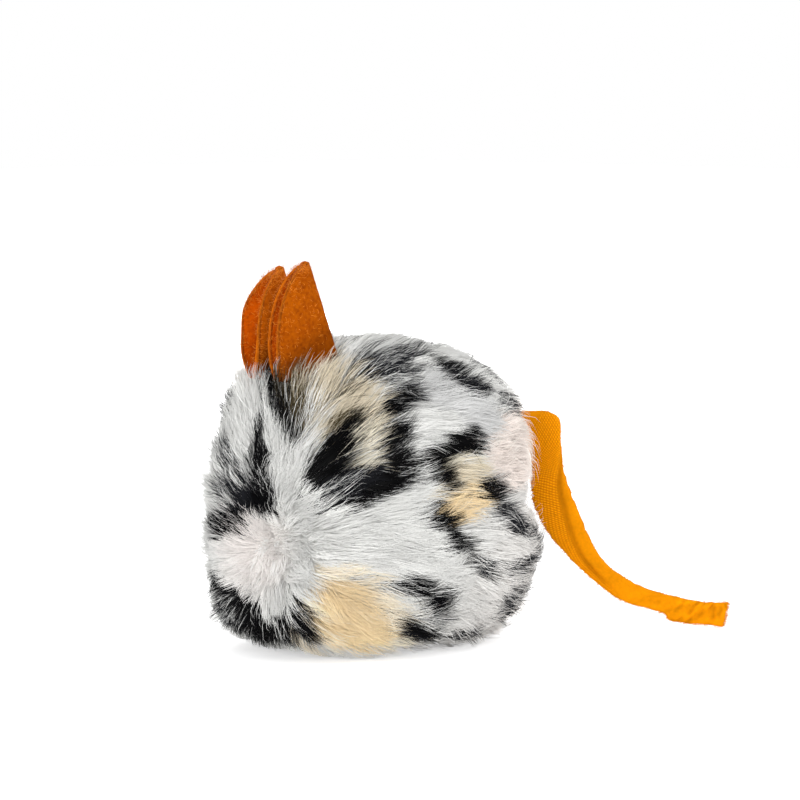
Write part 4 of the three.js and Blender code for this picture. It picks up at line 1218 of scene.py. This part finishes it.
def add_flap(cloth_material, fur_material):
    """The flap's knitted backing, and its short pile on the side that lies on the floor."""
    level = level_grid(FLAP_X, FLAP_Y, FLAP_HEIGHT)
    level[..., Z] += bumps(level, FLAP_WAVES)
    piece, _ = slab("flap_cloth", level, FLAP_CLOTH, TONES["white"] * FLAP_SHADE)
    dress(piece, cloth_material, "flap", ["pocket_flap"])

    chance = np.random.default_rng(SEEDS["flap"])
    count = FLAP_STRANDS
    x, y = chance.uniform(*FLAP_ROOT_X, count), chance.uniform(*FLAP_ROOT_Y, count)
    roots = np.stack([x, y, np.full(count, FLAP_ROOT_HEIGHT)], -1)
    tufts, tuft = locks(roots, FLAP_LOCK, chance)
    turn = chance.normal(0, FLAP_LOCK_TURN, len(tufts))[tuft] + chance.normal(0, FLAP_HAIR_TURN, count)
    turn = np.radians(turn + bumps(roots, FLAP_SWIRL))[:, None]
    run = chance.uniform(*FLAP_RUN, count) * chance.uniform(*FLAP_LOCK_RUN, len(tufts))[tuft]
    drop = chance.uniform(*FLAP_DROP, count) * chance.uniform(*FLAP_LOCK_DROP, len(tufts))[tuft]
    ahead = run[:, None] * ALONG**REACH_POWER
    fall = -drop[:, None] * (1 - (1 - ALONG) ** FLAP_DROP_POWER)
    paths = roots[:, None] + np.stack([np.cos(turn) * ahead, np.sin(turn) * ahead, fall], -1)
    guide = paths[tufts[tuft]] + FLAP_APART * (roots - roots[tufts[tuft]])[:, None]
    gather = chance.uniform(*FLAP_GATHER, count)[:, None] * ALONG**GATHER_POWER
    paths = paths + gather[..., None] * (guide - paths)
    colour = print_and_painted_light(roots * np.array([1, 1, 0]), *chance.random((2, count)))
    tints = (colour * chance.uniform(*FLAP_HAIR_SHADES, (count, 1)))[:, None]
    out = np.broadcast_to(np.array([0, 0, -1.0]), roots.shape)
    pile = strand_mesh("flap_pile", paths, chance.uniform(*FLAP_RADIUS, count), tints, out)
    dress(pile, fur_material, "flap")


def add_strip(node, body, material, face, height, curl, count, spread):
    """Hooks or loops on the upper or lower face of a closing strip, in rows across it."""
    dress(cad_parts[node], material)
    low, high = (np.array(corner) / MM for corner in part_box(node))
    chance = np.random.default_rng(SEEDS[node])
    columns = math.ceil(math.sqrt(count * (high[X] - low[X]) / (high[Y] - low[Y])))
    rows = math.ceil(count / columns)
    row, column = np.divmod(np.arange(count), columns)
    share = np.stack([(column + 0.5) / columns, (row + 0.5) / rows], -1)
    share = np.clip(share + chance.normal(0, spread, share.shape), *STRIP_INSIDE)
    level = high[Z] if face > 0 else low[Z]
    roots = np.concatenate([low[:Z] + share * (high[:Z] - low[:Z]), np.full((count, 1), level)], 1)
    turn = chance.uniform(-np.pi, np.pi, count) * spread * STRIP_TURN
    aside = np.stack([np.cos(turn), np.sin(turn), np.zeros(count)], -1)
    paths = roots[:, None] + curl * HOOK_STEPS[:, :1] * aside[:, None]
    paths[..., Z] += face * height * HOOK_STEPS[:, 1]
    out = np.broadcast_to(np.array([0, 0, float(face)]), roots.shape)
    radii = np.full(count, HOOK_RADIUS)
    hooks = strand_mesh(f"{node}_face", paths, radii, TONES["strip_face"], out, LOOSE_ROUND)
    dress(hooks, material, body)


# Materials

WHITE = (1, 1, 1)
SHEEN_ROUGHNESS = 0.5
FIBRE_SPECULAR, PLAIN_SPECULAR, PLAIN_SHADE = 0.04, 0.3, 0.82
# Places on a noise from 0 to 1 where a grain is darkest and lightest
DARK_AT, LIGHT_AT = 0.3, 0.7
# Places on the noise of the felt's fibres and patches, and the share of each colour that is left there
FELT_GRAIN = [(0.28, (0.6, 0.5, 0.4)), (0.5, (0.85, 0.8, 0.75)), (0.75, WHITE)]
FELT_PATCHES = [(0.3, (0.84, 0.78, 0.72)), (0.65, WHITE)]


def feed(tree, node, inputs):
    """Set sockets of a node to values, or link them to other nodes' outputs."""
    for key, value in inputs.items():
        if isinstance(value, bpy.types.NodeSocket):
            tree.links.new(value, node.inputs[key])
        else:
            node.inputs[key].default_value = value


def add_node(tree, kind, inputs, **settings):
    """A new node's outputs."""
    node = tree.nodes.new(kind)
    for key, value in settings.items():
        setattr(node, key, value)
    feed(tree, node, inputs)
    return node.outputs


def new_material(name, roughness, sheen=0.0, specular=0.1):
    """A material, its node tree and its shader."""
    material = bpy.data.materials.new(name)
    material.use_nodes = True
    tree = material.node_tree
    shader = tree.nodes["Principled BSDF"]
    feed(tree, shader, {"Roughness": roughness, "Specular IOR Level": specular})
    feed(tree, shader, {"Sheen Weight": sheen, "Sheen Roughness": SHEEN_ROUGHNESS})
    return material, tree, shader


def noise(tree, scale, detail=4):
    place = add_node(tree, "ShaderNodeTexCoord", {})["Object"]
    return add_node(tree, "ShaderNodeTexNoise", {"Vector": place, "Scale": scale, "Detail": detail})["Fac"]


def ramp(tree, factor, stops):
    node = tree.nodes.new("ShaderNodeValToRGB")
    elements = node.color_ramp.elements
    while len(elements) < len(stops):
        elements.new(1)
    for element, (place, colour) in zip(elements, stops):
        element.position = place
        element.color = (*colour, 1)
    feed(tree, node, {"Fac": factor})
    return node.outputs["Color"]


def multiply(tree, first, second):
    """The product of two colours."""
    inputs = {"Factor_Float": 1, "A_Color": first, "B_Color": second}
    node = tree.nodes.new("ShaderNodeMix")
    node.data_type = "RGBA"
    node.blend_type = "MULTIPLY"
    numbers = {socket.identifier: number for number, socket in enumerate(node.inputs)}
    feed(tree, node, {numbers[key]: value for key, value in inputs.items()})
    return next(socket for socket in node.outputs if socket.identifier == "Result_Color")


def own_tint(tree):
    """The colour that each point of a mesh carries."""
    return add_node(tree, "ShaderNodeAttribute", {}, attribute_name="tint")["Color"]


def paint(tree, shader, colour, height, distance, strength):
    """Give a shader its colour and a fine relief, whose distance is in metres."""
    relief = {"Height": height, "Distance": distance, "Strength": strength}
    normal = add_node(tree, "ShaderNodeBump", relief)["Normal"]
    feed(tree, shader, {"Base Color": colour, "Normal": normal})


def tinted_material(name, roughness, sheen, grain_scale, dark):
    """A fibre material whose colour is the mesh's own tint, with slight unevenness."""
    material, tree, shader = new_material(name, roughness, sheen, FIBRE_SPECULAR)
    grain = noise(tree, grain_scale)
    uneven = ramp(tree, grain, [(DARK_AT, (dark, dark, dark)), (LIGHT_AT, WHITE)])
    colour = multiply(tree, own_tint(tree), uneven)
    paint(tree, shader, colour, grain, distance=0.0002, strength=0.4)
    return material


def plain_material(name, colour, roughness, grain_scale):
    """One colour with a fine unevenness."""
    material, tree, shader = new_material(name, roughness, specular=PLAIN_SPECULAR)
    grain = noise(tree, grain_scale)
    uneven = ramp(tree, grain, [(DARK_AT, colour * PLAIN_SHADE), (LIGHT_AT, colour)])
    paint(tree, shader, uneven, grain, distance=0.0001, strength=0.5)
    return material


def felt_material():
    material, tree, shader = new_material("felt", roughness=0.95, sheen=0.04, specular=0.03)
    feed(tree, shader, {"Sheen Tint": (*TONES["felt_sheen"], 1)})
    fibres = noise(tree, scale=1400, detail=6)
    patches = noise(tree, scale=260, detail=3)
    shade = multiply(tree, ramp(tree, fibres, FELT_GRAIN), ramp(tree, patches, FELT_PATCHES))
    colour = multiply(tree, own_tint(tree), shade)
    paint(tree, shader, colour, fibres, distance=0.0003, strength=0.7)
    return material


# Scene, in metres

CAMERA_PLACE, CAMERA_TARGET = (-0.5592, -0.5679, 0.1213), (0.00435, -0.00435, 0.05154)
CAMERA_LENS, CAMERA_SENSOR, CAMERA_FAR = 170.6, 36, 20
FLOOR_SIZE, FLOOR_GREY, FLOOR_GLOW = 6, 0.86, 0.5
WORLD_LIGHT = 0.76
LAMP_TARGET = (0, 0, 0.03)
# Lamps: place, size, and power in watts
LAMPS = {
    "key": ((-0.5, -0.35, 0.9), 0.5, 1),
    "front": ((-0.75, -0.6, 0.1), 0.5, 8),
    "fill": ((0.8, -0.6, 0.45), 0.6, 4),
    "rear": ((0.65, 0.75, 0.35), 0.7, 6),
}


def place_aimed(name, data, place, target):
    """A camera or lamp at a place, turned to a target."""
    made = bpy.data.objects.new(name, data)
    made.location = place
    made.rotation_euler = (Vector(target) - made.location).to_track_quat("-Z", "Y").to_euler()
    bpy.context.scene.collection.objects.link(made)
    return made


def add_camera():
    data = bpy.data.cameras.new("camera")
    data.lens = CAMERA_LENS
    data.sensor_width = CAMERA_SENSOR
    data.clip_end = CAMERA_FAR
    bpy.context.scene.camera = place_aimed("camera", data, CAMERA_PLACE, CAMERA_TARGET)


def seen_by(tree, *rays):
    """A value of 1 for the named kinds of ray, and 0 for all others."""
    light_path = add_node(tree, "ShaderNodeLightPath", {})
    seen = light_path[rays[0]]
    for ray in rays[1:]:
        seen = add_node(tree, "ShaderNodeMath", {0: seen, 1: light_path[ray]}, operation="MAXIMUM")[0]
    return seen


def add_floor():
    bpy.ops.mesh.primitive_plane_add(size=FLOOR_SIZE)
    floor = bpy.context.object
    floor.name = "floor"
    material, tree, shader = new_material("floor", roughness=0.9)
    seen = seen_by(tree, "Is Camera Ray", "Is Glossy Ray", "Is Transmission Ray")
    glow = add_node(tree, "ShaderNodeMath", {0: seen, 1: FLOOR_GLOW}, operation="MULTIPLY")[0]
    grey = (FLOOR_GREY, FLOOR_GREY, FLOOR_GREY, 1)
    feed(tree, shader, {"Base Color": grey, "Emission Color": (*WHITE, 1), "Emission Strength": glow})
    floor.data.materials.append(material)


def add_world():
    """White where the camera sees it, and dimmer as a light."""
    world = bpy.data.worlds.new("studio")
    bpy.context.scene.world = world
    world.use_nodes = True
    tree = world.node_tree
    seen = seen_by(tree, "Is Camera Ray", "Is Glossy Ray")
    levels = {"Value": seen, "To Min": WORLD_LIGHT, "To Max": 1}
    level = add_node(tree, "ShaderNodeMapRange", levels)["Result"]
    feed(tree, tree.nodes["Background"], {"Color": (*WHITE, 1), "Strength": level})


def add_lamp(name, place, size, power):
    data = bpy.data.lights.new(name, "AREA")
    data.size = size
    data.energy = power
    place_aimed(name, data, place, LAMP_TARGET)


bpy.context.scene.view_settings.view_transform = "Standard"
add_camera()
add_floor()
add_world()
for lamp_name, lamp_values in LAMPS.items():
    add_lamp(lamp_name, *lamp_values)

fur = tinted_material("fur", roughness=0.85, sheen=0, grain_scale=900, dark=0.92)
cloth = tinted_material("backing", roughness=0.95, sheen=0.1, grain_scale=1200, dark=0.8)
felt = felt_material()
tape = tinted_material("knitted_tape", roughness=0.85, sheen=0, grain_scale=1500, dark=0.85)
fuzz = tinted_material("felt_fuzz", roughness=0.9, sheen=0.1, grain_scale=1500, dark=0.85)
filling = tinted_material("fibre_fill", roughness=0.95, sheen=0, grain_scale=700, dark=0.85)
lining = tinted_material("lining", roughness=0.9, sheen=0, grain_scale=2400, dark=0.8)
herb = tinted_material("dried_herb", roughness=0.95, sheen=0, grain_scale=1300, dark=0.7)
strip = plain_material("closing_strip", TONES["strip"], roughness=0.55, grain_scale=1800)
add_cloth(cloth)
add_pile(fur)
add_ear("left", felt, fuzz)
add_ear("right", felt, fuzz)
add_tail(tape, fuzz)
add_stuffing(filling)
add_liner(lining)
add_herb(herb)
add_flap(cloth, fur)
add_strip("hook_strip", "flap", strip, face=1, height=0.26, curl=0.22, count=112, spread=0.004)
add_strip("loop_strip", "body", strip, face=-1, height=0.26, curl=0.5, count=420, spread=0.03)
